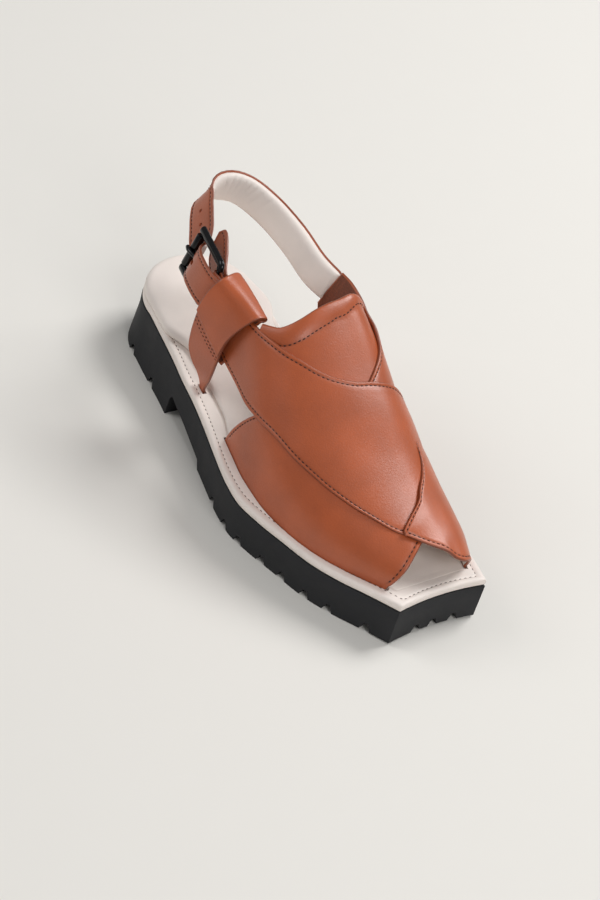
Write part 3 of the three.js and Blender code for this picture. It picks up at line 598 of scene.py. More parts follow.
def stitch_tree():
    """Geometry nodes that lay one stitch after another along curves."""
    tree = bpy.data.node_groups.get("stitch_row")
    if tree is not None:
        return tree
    tree = bpy.data.node_groups.new("stitch_row", "GeometryNodeTree")
    tree.interface.new_socket("Geometry", in_out="OUTPUT", socket_type="NodeSocketGeometry")
    tree.interface.new_socket("Geometry", in_out="INPUT", socket_type="NodeSocketGeometry")
    for name in ("Pitch", "Stitch length", "Thread"):
        tree.interface.new_socket(name, in_out="INPUT", socket_type="NodeSocketFloat")
    tree.interface.new_socket("Material", in_out="INPUT", socket_type="NodeSocketMaterial")
    given = add_node(tree, "NodeGroupInput").outputs
    spots = add_node(tree, "GeometryNodeResampleCurve", {"Curve": given["Geometry"], "Length": given["Pitch"]},
                     mode="LENGTH")
    bead = add_node(tree, "GeometryNodeMeshUVSphere", (), {"Segments": 6, "Rings": 6, "Radius": 0.5})
    long = add_node(tree, "ShaderNodeCombineXYZ",
                    {"X": given["Stitch length"], "Y": given["Thread"], "Z": given["Thread"]})
    stitch = add_node(tree, "GeometryNodeTransform",
                      {"Geometry": bead.outputs["Mesh"], "Scale": long.outputs["Vector"]})
    tangent = add_node(tree, "GeometryNodeInputTangent").outputs["Tangent"]
    turned = add_node(tree, "FunctionNodeAlignRotationToVector", {"Vector": tangent}, axis="X")
    laid = add_node(tree, "GeometryNodeInstanceOnPoints",
                    {"Points": spots.outputs["Curve"], "Instance": stitch.outputs["Geometry"],
                     "Rotation": turned.outputs["Rotation"]})
    real = add_node(tree, "GeometryNodeRealizeInstances", {"Geometry": laid.outputs["Instances"]})
    smooth = add_node(tree, "GeometryNodeSetShadeSmooth", {"Geometry": real.outputs["Geometry"]})
    dyed = add_node(tree, "GeometryNodeSetMaterial",
                    {"Geometry": smooth.outputs["Geometry"], "Material": given["Material"]})
    add_node(tree, "NodeGroupOutput", {"Geometry": dyed.outputs["Geometry"]})
    return tree


def baked_mesh(holder, name, materials):
    """The evaluated object as a plain mesh piece; the object that held the modifier goes."""
    bpy.context.view_layer.update()
    seen = holder.evaluated_get(bpy.context.evaluated_depsgraph_get())
    mesh = bpy.data.meshes.new_from_object(seen)
    mesh.name = name
    if not mesh.materials:
        for material in materials:
            mesh.materials.append(material)
    bpy.data.objects.remove(holder)
    piece = bpy.data.objects.new(name, mesh)
    bpy.context.collection.objects.link(piece)
    return piece


def sew(name, paths, material, pitch=None, length=None, thread=None):
    """Rows of stitches along pattern paths, as one piece."""
    sizes = bpy.context.scene.chappal_sizes
    curve = bpy.data.curves.new(name, "CURVE")
    curve.dimensions = "3D"
    for path in paths:
        points = (np.asarray(path) - ORIGIN) * MM
        line = curve.splines.new("POLY")
        line.points.add(len(points) - 1)
        line.points.foreach_set("co", np.c_[points, np.ones(len(points))].ravel())
    holder = bpy.data.objects.new(name + "_path", curve)
    bpy.context.collection.objects.link(holder)
    rows = holder.modifiers.new("stitches", "NODES")
    rows.node_group = stitch_tree()
    values = {"Pitch": pitch or sizes.stitch_pitch, "Stitch length": length or sizes.stitch_length,
              "Thread": thread or sizes.thread, "Material": material}
    for item in rows.node_group.interface.items_tree:
        if item.in_out == "INPUT" and item.name in values:
            rows[item.identifier] = values[item.name]
    piece = baked_mesh(holder, name, [material])
    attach(piece, "root")
    return piece


def settle(piece, slot, *nodes):
    """Every piece of the shoe rides on its one body."""
    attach(piece, "root")
    if nodes:
        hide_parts(*nodes)
    return piece


def cut(piece, tools):
    """Cut closed tools out of a piece, and drop the tools."""
    name = piece.name
    for tool in tools:
        step = piece.modifiers.new("cut", "BOOLEAN")
        step.operation, step.solver, step.object = "DIFFERENCE", "EXACT", tool
    bpy.context.view_layer.update()
    seen = piece.evaluated_get(bpy.context.evaluated_depsgraph_get())
    mesh = bpy.data.meshes.new_from_object(seen)
    piece.modifiers.clear()
    piece.data, worn = mesh, piece.data
    bpy.data.meshes.remove(worn)
    mesh.name = name
    for tool in tools:
        bpy.data.objects.remove(tool)
    return piece


def block(name, bottom, top, levels, materials, edge_and_seam_darkening=None):
    """A closed solid between two grids of points, with rings of points up its sides."""
    rows, across = top.shape[:2]
    index = np.arange(rows * across).reshape(rows, across)
    rings = [border(index)]
    points, faces = [bottom.reshape(-1, 3)], [*quads(index)[:, ::-1]]
    count = rows * across
    for level in levels:
        ring = level.reshape(-1, 3)[border(index)]
        rings.append(count + np.arange(len(ring)))
        points.append(ring)
        count += len(ring)
    rings.append(count + border(index))
    points.append(top.reshape(-1, 3))
    faces += [*(count + quads(index))]
    for low, high in zip(rings[:-1], rings[1:]):
        faces += [*np.stack([low, np.roll(low, -1), np.roll(high, -1), high], -1)]
    return make_piece(name, np.vstack(points), faces, materials, edge_and_seam_darkening=edge_and_seam_darkening)


# Outsole: shares of the length where grooves part the lugs, and the arch's underside
BREAST = 0.294
ARCH = [(0.3, 1), (0.34, 0.84), (0.4, 0.56), (0.452, 0.38)]
OUTER_GROOVES = [0.1, 0.205, 0.556, 0.618, 0.667, 0.728, 0.779, 0.835, 0.883, 0.953]
INNER_GROOVES = [0.1, 0.205, 0.527, 0.588, 0.645, 0.697, 0.754, 0.808, 0.86, 0.92]
TOE_GROOVES = [-0.1, 0.26, 0.62]
BACK_GROOVES = [-0.3, 0.3]


def prism(outline, low, high, heading=0.0, at=(0, 0, 0)):
    """Points and faces of an outline in x and z, run along y, turned about z and moved."""
    outline = np.asarray(outline, float)
    count = len(outline)
    points = np.array([(x, y, z) for y in (low, high) for x, z in outline])
    turn = np.array([[np.cos(heading), -np.sin(heading), 0], [np.sin(heading), np.cos(heading), 0], [0, 0, 1]])
    points = points @ turn.T + np.array(at)
    faces = [list(range(count)), list(range(2 * count - 1, count - 1, -1))]
    faces += [[k, k + count, (k + 1) % count + count, (k + 1) % count] for k in range(count)]
    if volume(points - points.mean(0), faces) < 0:
        faces = [face[::-1] for face in faces]
    return points, faces


def tool_of(parts, name="tool"):
    points, faces, count = [], [], 0
    for part, sides in parts:
        points.append(part)
        faces += [[count + k for k in face] for face in sides]
        count += len(part)
    return make_piece(name, np.vstack(points), faces, [])


def groove(x, y, heading, reach, mouth=6.4, root=2.6, depth=LUG_DEPTH):
    outline = [(-mouth / 2, -20), (mouth / 2, -20), (mouth / 2, 0), (root / 2, depth), (-root / 2, depth),
               (-mouth / 2, 0)]
    return prism(outline, -reach, reach, heading, (x, y, float(rubber_bottom(x))))


def sole_grooves():
    cuts = []
    for shares, share, sign in ((OUTER_GROOVES, OUTER, -1), (INNER_GROOVES, INNER, 1)):
        for along in shares:
            x = along * LENGTH
            cuts.append(groove(x, sign * sole_side(x, share), -sign * 0.2, 19 if along < BREAST else 27))
    for along in TOE_GROOVES:
        side = sole_side(LENGTH, OUTER if along < 0 else INNER)
        cuts.append(groove(LENGTH, along * side, np.pi / 2, 13.5))
    cuts += [groove(0, along * HEEL_ROUND, np.pi / 2, 13.3) for along in BACK_GROOVES]
    return cuts


def crease(mesh, degrees):
    """Faces that meet at more than an angle stay sharp."""
    mesh.shade_smooth()
    mesh.set_sharp_from_angle(angle=np.radians(degrees))


class CHAPPAL_OT_outsole(bpy.types.Operator):
    """Make the black rubber sole with its lugs"""
    bl_idname = "chappal.outsole"
    bl_label = "Outsole"

    def execute(self, context):
        def flare(x):
            share = x / LENGTH
            return mix(-HEEL_FLARE, 0.8, ease(0.28, 0.5, share)) * (1 - ease(0.7, 0.85, share))

        def rings(inset, height):
            return raised(sole_rows(inset), height)

        bottom = rings(flare, rubber_bottom)
        levels = [rings(lambda x: 0.45 * flare(x), lambda x: mix(rubber_bottom(x), rubber_top(x) - 9, 0.55)),
                  rings(0, lambda x: rubber_top(x) - 9), rings(0, lambda x: rubber_top(x) - 0.5),
                  rings(0.15, lambda x: rubber_top(x) - 0.15)]
        top = rings(0.5, rubber_top)
        sole = block("sole_rubber", bottom, top, levels, [moulded_rubber()])
        arch = [(BREAST * LENGTH, -40), (BREAST * LENGTH, ARCH_HEIGHT * 0.8),
                *((along * LENGTH, rise * ARCH_HEIGHT) for along, rise in ARCH),
                (0.462 * LENGTH, -0.2), (0.462 * LENGTH, -40)]
        cut(sole, [tool_of([prism(arch, -BALL, BALL)]), tool_of(sole_grooves())])
        crease(sole.data, 32)
        settle(sole, "outsole_rubber", "outsole")
        return {"FINISHED"}


def pressed_rings(insets_and_heights):
    return [raised(sole_rows(inset), lambda x, h=height: rubber_top(x) + FIT + h)
            for inset, height in insets_and_heights]


class CHAPPAL_OT_board(bpy.types.Operator):
    """Make the cream wrapped board, its slots and the stitches of its rim"""
    bl_idname = "chappal.board"
    bl_label = "Insole board"

    def execute(self, context):
        sizes = context.scene.chappal_sizes
        seam = sizes.rim_inset / MM
        bottom, *levels, top = pressed_rings([
            (1.3, 0), (0.75, 0.25), (0.4, 0.9), (0.35, 2.3), (0.4, 3.5), (0.6, 4.2), (1.1, 4.75), (1.8, 5),
            (3, 5.06), (seam - 0.7, 4.95), (seam, 4.62), (seam + 0.7, 4.92), (seam + 1.6, 5), (8, 5)])
        board = block("board_cover", bottom, top, levels, [cream_leather()])
        cut(board, slot_tools())
        crease(board.data, 38)
        settle(board, "board_cover", "insole_board")
        ring = pressed_rings([(seam, 4.68)])[0]
        line = ring.reshape(-1, 3)[border(np.arange(ring.shape[0] * ring.shape[1]).reshape(ring.shape[:2]))]
        start = int(np.argmax(line[:, 0] > 0.2 * LENGTH))
        line = np.roll(line, -start, 0)
        line = line[line[:, 0] > 0.2 * LENGTH]
        sew("rim_stitches", [line], rim_thread(), pitch=sizes.rim_pitch,
            length=0.0017, thread=0.0006)
        return {"FINISHED"}


class CHAPPAL_OT_footbed(bpy.types.Operator):
    """Make the cream padded footbed, thick under the heel"""
    bl_idname = "chappal.footbed"
    bl_label = "Footbed"

    def execute(self, context):
        front = LENGTH - 12
        stations = np.r_[STATIONS[STATIONS < front - 3], front]
        share = stations / LENGTH
        room = SLOT_ROOM + FIT
        keeper_room = (WALL + 2 * FIT) * (1 - ease(0.44, 0.5, share))
        narrow = ease(0.19, 0.27, share)
        outer = mix(OUTER(share) * BALL - 0.4, FORM_OUTER(share) * BALL - room - keeper_room, narrow)
        inner = mix(INNER(share) * BALL - 0.4, FORM_INNER(share) * BALL - room, narrow)

        def layer(inset, rise, dome=0.0):
            by = np.full_like(stations, inset)
            rows, out, inn = inset_rows(stations, outer, inner, by, front)
            plan = plan_rows(rows + 0.4 * (stations < HEEL_ROUND), out, inn, by[0] - rows[0], 0)
            x = plan[..., :1]
            thick = mix(7, 2.6, ease(0.2, 0.5, x / LENGTH)) * mix(1, 0.12, ease(0.78, 0.94, x / LENGTH))
            middle = np.linspace(-1, 1, plan.shape[1])[None, :, None]
            bulge = dome * (1 - middle ** 4) * np.clip(np.linspace(0, 12, len(rows)), 0, 1)[:, None, None]
            return np.concatenate([plan, board_top(x) + FIT * 0.4 + rise * thick + bulge], -1)

        steps = [(1.4, 0), (0.5, 0.1), (0.05, 0.28), (0.1, 0.48), (0.55, 0.68), (1.4, 0.83), (2.8, 0.94), (4.6, 0.99)]
        bottom, *levels = (layer(*step) for step in steps)
        pad = block("footbed_pad", bottom, layer(7, 1, 0.5), levels, [cream_leather()])
        settle(pad, "footbed_cover", "footbed")
        return {"FINISHED"}


# The upper's leathers. Each has two rails of [share of the length, turn round the form, distance
# off it], how many leathers it lies over, its rows of stitches and what stands proud of it.
FOOT = 1.036
QUARTER_FOOT = FOOT - 0.003
TOE_FOOT = FOOT - 0.006


def flat_lift(u, v):
    return 0 * u


def rim_inset(u):
    """The instep piece's folded rim narrows to its inner end."""
    return mix(11.5, 4, ease(0.5, 0.95, u))


def rim_relief(u, v, first, second, start, end):
    share = np.clip(first / rim_inset(u), 0, 1)
    return 1.3 * np.sin(np.pi * share ** 0.8) ** 0.7 * (share < 1) * ease(0, 6, end)


def band_lift(u, v):
    over_vamp = ease(0.33, 0.47, u) * (1 - ease(0.12, 0.85, v)) * (1 - ease(0.66, 0.86, u))
    over_instep = ease(0.26, 0.42, u) * ease(0.15, 0.88, v)
    return over_vamp + over_instep + ease(0.55, 0.75, u) * ease(0.5, 0.9, v)


PANELS = {
    "vamp_outer": dict(
        rails=([(0.488, -FOOT), (0.56, -FOOT), (0.64, -FOOT), (0.73, -FOOT), (0.81, -FOOT), (0.88, -FOOT),
                (0.946, -FOOT)],
               [(0.585, -0.6), (0.63, -0.5), (0.68, -0.43), (0.74, -0.37), (0.8, -0.29), (0.86, -0.18),
                (0.922, -0.1)]),
        lift=flat_lift, reach=6.5, seams=[("start", None, 0.1, 1), ("end", None, 0.1, 1)]),
    "instep_piece": dict(
        rails=([(0.446, -0.475), (0.463, -0.425), (0.478, -0.37), (0.487, -0.25), (0.484, -0.1),
                (0.477, 0.05, 0.8), (0.47, 0.18, 2.8), (0.472, 0.3, 4.4), (0.48, 0.44, 5.4)],
               [(0.462, -0.56), (0.532, -0.46), (0.572, -0.37), (0.61, -0.27), (0.64, -0.17),
                (0.66, -0.05), (0.667, 0.1), (0.66, 0.28), (0.62, 0.48)]),
        lift=flat_lift, seams=[("first", rim_inset, 0, 1)], relief=rim_relief),
    "quarter_inner": dict(
        rails=([(0.38, 0.5, 11.5), (0.42, 0.44, 11), (0.468, 0.38, 8.5), (0.5, 0.345, 6), (0.53, 0.32, 4),
                (0.56, 0.27, 2.4), (0.588, 0.18, 1.2), (0.612, 0.08, 0.4), (0.64, -0.04)],
               [(0.365, 0.7), (0.378, 0.77), (0.4, 0.88), (0.432, QUARTER_FOOT), (0.48, QUARTER_FOOT),
                (0.53, QUARTER_FOOT), (0.58, QUARTER_FOOT), (0.63, QUARTER_FOOT), (0.672, QUARTER_FOOT)]),
        lift=lambda u, v: ease(0.32, 0.5, u) * (1 - ease(0.3, 0.6, v)), lining="suede",
        seams=[("first", None, 0.02, 1), ("start", None, 0, 1), ("second", None, 0, 0.33)]),
    "cross_band": dict(
        rails=([(0.2, -0.655, -9), (0.213, -0.7, -8.5), (0.262, -0.72, -4.6), (0.306, -0.755), (0.35, -0.79),
                (0.397, -0.812), (0.468, -0.792), (0.522, -0.762), (0.569, -0.71), (0.623, -0.64),
                (0.707, -0.56), (0.774, -0.49), (0.842, -0.39), (0.899, -0.25), (0.905, 0.0),
                (0.9, 0.4), (0.885, 0.75), (0.87, FOOT)],
               [(0.2, -0.56, -10), (0.213, -0.52, -10), (0.262, -0.54, -5.4), (0.306, -0.57), (0.35, -0.56),
                (0.39, -0.553), (0.44, -0.513), (0.488, -0.44), (0.525, -0.37), (0.549, -0.31),
                (0.582, -0.22), (0.606, -0.13), (0.623, -0.03), (0.63, 0.1), (0.633, 0.29),
                (0.638, 0.55), (0.645, 0.8), (0.655, FOOT)]),
        lift=band_lift, seams=[("first", None, 0.02, 0.95), ("second", None, 0.02, 0.95)]),
    "toe_piece": dict(
        rails=([(0.896, -0.24), (0.865, -0.05), (0.828, 0.1), (0.801, 0.23), (0.768, 0.33),
                (0.73, 0.37), (0.711, 0.6), (0.7, TOE_FOOT)],
               [(0.902, -0.25), (0.926, -0.15), (0.949, -0.02), (0.966, 0.1), (0.976, 0.22),
                (0.98, 0.4), (0.97, 0.7), (0.956, TOE_FOOT)]),
        lift=lambda u, v: 1 + 0.6 * (1 - ease(0.15, 0.5, u)) * (1 - ease(0.4, 1, v))
        - ease(0.35, 0.55, u) * ease(0.72, 1, v),
        seams=[("first", None, 0.02, 0.97), ("second", None, 0.02, 0.97)]),
}
FEET = {"vamp_outer": ("first", (0, 1), (0, 0.14)), "quarter_inner": ("second", (0.3, 1), (0.88, 1)),
        "cross_band": ("end", (0.9, 1), (0, 1)), "toe_piece": ("end", (0.88, 1), (0, 1))}


def panel_surface(panel, stand=0.5):
    reach = panel.get("reach", 0)

    def surface(u, v):
        u, v = np.broadcast_arrays(u, v)
        first, second = (spline(rail(rows), u) for rows in panel["rails"])
        at = mix(first, second, v[..., None])
        along = at[..., 0] + reach * ease(0.75, 1, u) * np.sin(np.pi * v) ** 0.8
        return off_form(along, at[..., 1] / TURN_MM, at[..., 2] + (panel["lift"](u, v) + stand) * WALL)
    return surface


def slot_tools():
    """Tools that cut the board's slots: each foot of leather with room round it."""
    tools = []
    for name, (_, along, across) in FEET.items():
        surface = panel_surface(PANELS[name])
        u = np.linspace(*along, 50)[:, None] * np.ones(30)
        v = np.ones((50, 1)) * np.linspace(*across, 30)
        tools.append(widened(surface(u, v), WALL + 0.7, name))
    rows, across = keeper_rows([0.84, 1], 12)
    tools.append(widened(rows, WALL + 0.7, "keeper"))
    return tools


def widened(mid, thickness, name):
    """A slot's tool: a foot's middle surface, longer at its edges and as thick as asked."""
    def longer(grid, reach=1.2):
        step = unit(grid[:1] - grid[1:2]), unit(grid[-1:] - grid[-2:-1])
        return np.concatenate([grid[:1] + reach * step[0], grid, grid[-1:] + reach * step[1]])
    mid = longer(longer(mid).transpose(1, 0, 2)).transpose(1, 0, 2)
    normal = unit(np.cross(np.gradient(mid, axis=0), np.gradient(mid, axis=1)))
    return block("slot_" + name, mid - normal * thickness / 2, mid + normal * thickness / 2, [], [])


class CHAPPAL_OT_upper(bpy.types.Operator):
    """Make the upper: vamp, instep piece, inner quarter, crossing band and toe piece"""
    bl_idname = "chappal.upper"
    bl_label = "Upper"

    def execute(self, context):
        sizes = context.scene.chappal_sizes
        wall, inset = sizes.wall / MM, sizes.seam_inset / MM
        linings = {"suede": suede, "cream": cream_leather}
        for name, panel in PANELS.items():
            seams = [(edge, inset if at is None else at, low, high) for edge, at, low, high in panel["seams"]]
            surface = panel_surface(panel)
            raised_surface = panel_surface(panel, 1)
            leather = Sheet(surface, lambda u, v: raised_surface(u, v) - surface(u, v), wall,
                            seams, panel.get("relief"))
            piece = leather.piece(name, cognac_leather(), linings[panel.get("lining", "cream")]())
            settle(piece, "upper_leather", *(["upper"] if name == "cross_band" else []))
            sew("stitches_" + name, leather.seam_paths(), brown_thread())
        return {"FINISHED"}


# Keeper: rows from the fold at its top down to the slot, along its rear and its front edge
KEEPER = ([(0.324, -0.53, 3), (0.332, -0.527, 8.5), (0.335, -0.54, 12.8), (0.33, -0.6, 14.8),
           (0.325, -0.7, 15.4), (0.321, -0.77, 14), (0.316, -0.84, 12), (0.314, -0.9, 9.8),
           (0.326, -0.938, 7.4), (0.342, -0.962, 4.6), (0.351, -1, WALL), (0.351, -FOOT, WALL)],
          [(0.439, -0.478, 2.4), (0.437, -0.492, 4.8), (0.433, -0.53, 6.2), (0.42, -0.63, 7),
           (0.41, -0.71, 7), (0.407, -0.765, 6.8), (0.405, -0.81, 6.4), (0.401, -0.855, 5.6),
           (0.395, -0.9, 4.6), (0.385, -0.945, 3.2), (0.37, -1, WALL), (0.37, -FOOT, WALL)])


def keeper_rows(span, count, inner=0.0, columns=17):
    """Rows of the keeper's middle surface; inner is 1 for the layer behind the strap."""
    u = np.linspace(*span, count)[:, None] * np.ones(columns)
    v = np.ones((count, 1)) * np.linspace(0, 1, columns)
    first, second = (spline(rail(rows), u) for rows in KEEPER)
    at = mix(first, second, v[..., None])
    back = mix(-SLOT_ROOM - WALL / 2, at[..., 2] - 1.4 * WALL, ease(0.5, 0.66, u))
    off = mix(at[..., 2] - WALL / 2, back, inner)
    return off_form(at[..., 0], at[..., 1] / TURN_MM, off), u


def keeper_loop():
    """The whole loop: up its leg and outer face, over the fold, and down behind the strap."""
    outer, _ = keeper_rows([1, 0.03], 90)
    inner, _ = keeper_rows([0.03, 0.6], 50, inner=1.0)
    middle, reach = (outer[-1] + inner[0]) / 2, (outer[-1] - inner[0]) / 2
    away = unit(outer[-1] - outer[-3]) * np.linalg.norm(reach, axis=-1, keepdims=True)
    fold = [middle + reach * np.cos(turn) + away * np.sin(turn) for turn in np.linspace(0, np.pi, 14)[1:-1]]
    return np.concatenate([outer, np.array(fold), inner])


# Shares along the loop where the cover's lower edge lies at the rear and the front, and its top
COVER_END = (0.375, 0.305)
COVER_TOP = 0.68


def sampled(grid):
    """A surface read smoothly from a dense grid of points."""
    def surface(u, v):
        rows, across = grid.shape[:2]
        a, b = np.clip(u, 0, 1) * (rows - 1), np.clip(v, 0, 1) * (across - 1)
        i, j = np.minimum(a.astype(int), rows - 2), np.minimum(b.astype(int), across - 2)
        s, t = (a - i)[..., None], (b - j)[..., None]
        return mix(mix(grid[i, j], grid[i + 1, j], s), mix(grid[i, j + 1], grid[i + 1, j + 1], s), t)
    return surface


class CHAPPAL_OT_keeper(bpy.types.Operator):
    """Make the wide leather keeper over the ankle"""
    bl_idname = "chappal.keeper"
    bl_label = "Keeper"

    def execute(self, context):
        grid = keeper_loop()
        surface = sampled(grid)
        leather = Sheet(surface, lambda u, v: np.broadcast_to([-0.1, -0.9, 0.5], (*u.shape, 3))
                        * np.where(u < 0.55, 1, 0)[..., None], WALL, step=2.2)
        piece = leather.piece("keeper_loop", cognac_leather(), suede())
        settle(piece, "upper_leather", "keeper")

        normal = unit(np.cross(np.gradient(grid, axis=0), np.gradient(grid, axis=1)))
        normal = normal * np.sign((normal[:60] @ np.array([-0.1, -0.9, 0.5])).mean())
        cover_grid = sampled(grid + normal * (WALL / 2 + 0.45))

        def seam_share(v):
            """Where the cover ends on the outer face, lower at the front than at the rear."""
            return mix(*COVER_END, v)

        def cover(u, v):
            return cover_grid(mix(seam_share(v), COVER_TOP, u), v)

        layer = Sheet(cover, lambda u, v: np.broadcast_to([-0.1, -0.9, 0.5], (*u.shape, 3))
                      * np.where(u < 0.6, 1, 0)[..., None], 1.3, step=2.2)
        settle(layer.piece("keeper_cover", cognac_leather(), suede()), "upper_leather")
        skin = sampled(grid + normal * (WALL / 2))
        across = np.linspace(0.06, 0.94, 40)
        rows = [skin(seam_share(across) - back, across) for back in (0.018, 0.033)]
        sew("stitches_keeper", rows, brown_thread(), pitch=0.0024, length=0.0015)
        return {"FINISHED"}


# Heel strap: rows of shares for its middle, and the share of its padding there
HEEL_PATH = [
    (0.316, 0.272, 0.886, 1), (0.25, 0.285, 0.904, 1), (0.198, 0.283, 0.916, 1),
    (0.158, 0.258, 0.943, 1), (0.126, 0.211, 0.978, 1), (0.102, 0.155, 1.012, 1),
    (0.083, 0.08, 1.03, 1), (0.076, 0.0, 1.02, 0.9), (0.084, -0.066, 0.995, 0.3),
    (0.11, -0.119, 0.97, 0), (0.139, -0.16, 0.946, 0), (0.166, -0.198, 0.917, 0),
]
BUCKLE_PATH = [(0, -4.3), (5, -2.4), (9.6, 2.8), (15.5, 5.4), (24, 6), (32, 5.6), (38, 4.4), (43.5, 2),
               (48, -0.6)]
LEAN = unit(np.array([0.16, 0.42, 0.89]))
FRAME_LENGTH = 32
FRAME_WIDTH = 32
FRAME_WIRE = 3.8
FRAME_CORNER = 2.4
HALF_FRAME = (FRAME_WIDTH - FRAME_WIRE) / 2
ACROSS = unit(np.array([0.06, 0.27, 0.96]))
FORWARD = np.array([0.975, -0.205, -0.003])
FORWARD = unit(FORWARD - ACROSS * FORWARD.dot(ACROSS))
OUTWARD = unit(np.cross(FORWARD, ACROSS))
ROLLER = np.array([0.193 * LENGTH, -0.241 * BALL, 1.022 * INSTEP]) - ACROSS * FRAME_WIDTH / 2


def buckle_spot(ahead, aside, out):
    """A point in the buckle's own frame: from the roller to the pivot, across it, and outwards."""
    ahead, aside, out = (np.asarray(part)[..., None] for part in (ahead, aside, out))
    return ROLLER + ahead * FORWARD + aside * ACROSS + out * OUTWARD


def strap_rows():
    quarter = PANELS["quarter_inner"]["rails"]
    stand = WALL + FIT + STRAP_THICK / 2 - 1.0

    def on_quarter(u, v):
        u = np.array([float(u)])
        spot = between_rails(quarter, np.clip(u, 0, 1), np.array([v]), stand)[0]
        if u[0] < 0:
            ahead = between_rails(quarter, np.array([0.01]), np.array([v]), stand)[0]
            spot = spot + (spot - ahead) / 0.01 * -u[0]
        return spot
    rows = []
    for u, pad in ((0.09, -0.3125), (0.004, -0.3125), (-0.004, 0.8)):
        rows.append((on_quarter(u, 0.54), unit(on_quarter(u, 0) - on_quarter(u, 1)), pad))
    for along, aside, height, pad in HEEL_PATH:
        rows.append((np.array([along * LENGTH, aside * BALL, height * INSTEP]), LEAN, pad))
    for ahead, out in BUCKLE_PATH:
        rows.append((buckle_spot(ahead, -0.6, out), ACROSS, 0))
    return rows


class StrapPath:
    def __init__(self):
        rows = strap_rows()
        self.last = len(rows) - 1
        self.at = np.array([row[0] for row in rows])
        self.lean = np.array([row[1] for row in rows])
        self.pad = column([(k, row[2]) for k, row in enumerate(rows)], 1)
        share = np.linspace(0, 1, 401)
        even = np.exp(-(np.arange(-24, 25) / 9.0) ** 2)
        even /= even.sum()

        def smoothed(points):
            held = np.vstack([np.repeat(points[:1], 24, 0), points, np.repeat(points[-1:], 24, 0)])
            soft = np.stack([np.convolve(held[:, k], even, "valid") for k in range(3)], -1)
            start = (ease(0.03, 0.09, share) * (1 - ease(0.4, 0.5, share)))[:, None]
            return mix(points, soft, start)

        self.share = share
        self.line = smoothed(spline(self.at, share))
        self.leans = smoothed(spline(self.lean, share, even=True))

    def frame(self, t):
        """Middle of the strap, the way up across it, the way out of it, and its padding."""
        def read(points, t):
            return np.stack([np.interp(t, self.share, points[:, k]) for k in range(3)], -1)
        at = read(self.line, t)
        tangent = unit(read(self.line, np.clip(t + 0.004, 0, 1)) - read(self.line, np.clip(t - 0.004, 0, 1)))
        lean = read(self.leans, t)
        face = unit(np.cross(tangent, lean))
        return at, unit(np.cross(face, tangent)), face, self.pad(t * self.last) * STRAP_PAD

    def spot(self, t, aside, depth):
        at, upward, face, _ = self.frame(t)
        return at + upward * np.asarray(aside)[..., None] + face * np.asarray(depth)[..., None]


def swept(name, rings, materials, closed=False):
    """A closed body through rings of points, with capped ends or joined into a hoop."""
    rings = np.asarray(rings)
    count, sides = rings.shape[:2]
    index = np.arange(count * sides).reshape(count, sides)
    pairs = range(count if closed else count - 1)
    faces = []
    for k in pairs:
        low, high = index[k], index[(k + 1) % count]
        faces += [*np.stack([low, high, np.roll(high, -1), np.roll(low, -1)], -1)]
    if not closed:
        faces += [list(index[0]), list(index[-1][::-1])]
    return make_piece(name, rings.reshape(-1, 3), faces, materials)


def drill(centre, direction, radius, reach, sides=20):
    """A round tool through a point."""
    side = unit(np.cross(direction, [0.3, 0.2, 0.9]))
    up = unit(np.cross(direction, side))
    turn = np.linspace(0, 2 * np.pi, sides, endpoint=False)
    ring = radius * (np.cos(turn)[:, None] * side + np.sin(turn)[:, None] * up)
    return swept("drill", [centre - direction * reach + ring, centre + direction * reach + ring], [])


# Shares along the strap: its holes, the end of its padding, and the creases with their depths
HOLES = (0.533, 0.578, 0.623)
PAD_END = 0.462
CREASES = ((0.29, 0.4), (0.318, 0.6), (0.338, 0.8), (0.354, 1), (0.368, 1), (0.383, 0.9), (0.399, 1), (0.417, 0.7))


def strap_lining(path):
    """The padded cream lining: a flat-backed body that swells inwards, creased at the heel's bend."""
    t = np.linspace(0.055, 0.996, 300)
    _, _, _, pad = path.frame(t)
    turn = np.linspace(0, np.pi, 23)
    half = STRAP_WIDTH / 2 - 1.1
    aside = half * np.sign(np.cos(turn)) * np.abs(np.cos(turn)) ** 0.62
    swell = np.abs(np.sin(turn)) ** 0.62
    depth = -0.05 - np.maximum(0.35, 1.35 + pad)[:, None] * swell
    for place, deep in CREASES:
        across = (t[:, None] - place + 0.0011 * aside) / 0.0024
        depth = depth + 0.75 * deep * np.exp(-across ** 2) * swell * ease(-8, 5, aside)
    back = np.linspace(-half, half, 7)[1:-1]
    aside = np.r_[aside, back]
    depth = np.c_[depth, np.full((len(t), len(back)), 0.1)]
    return swept("strap_lining", path.spot(t[:, None], np.broadcast_to(aside, depth.shape), depth),
                 [cream_leather()])


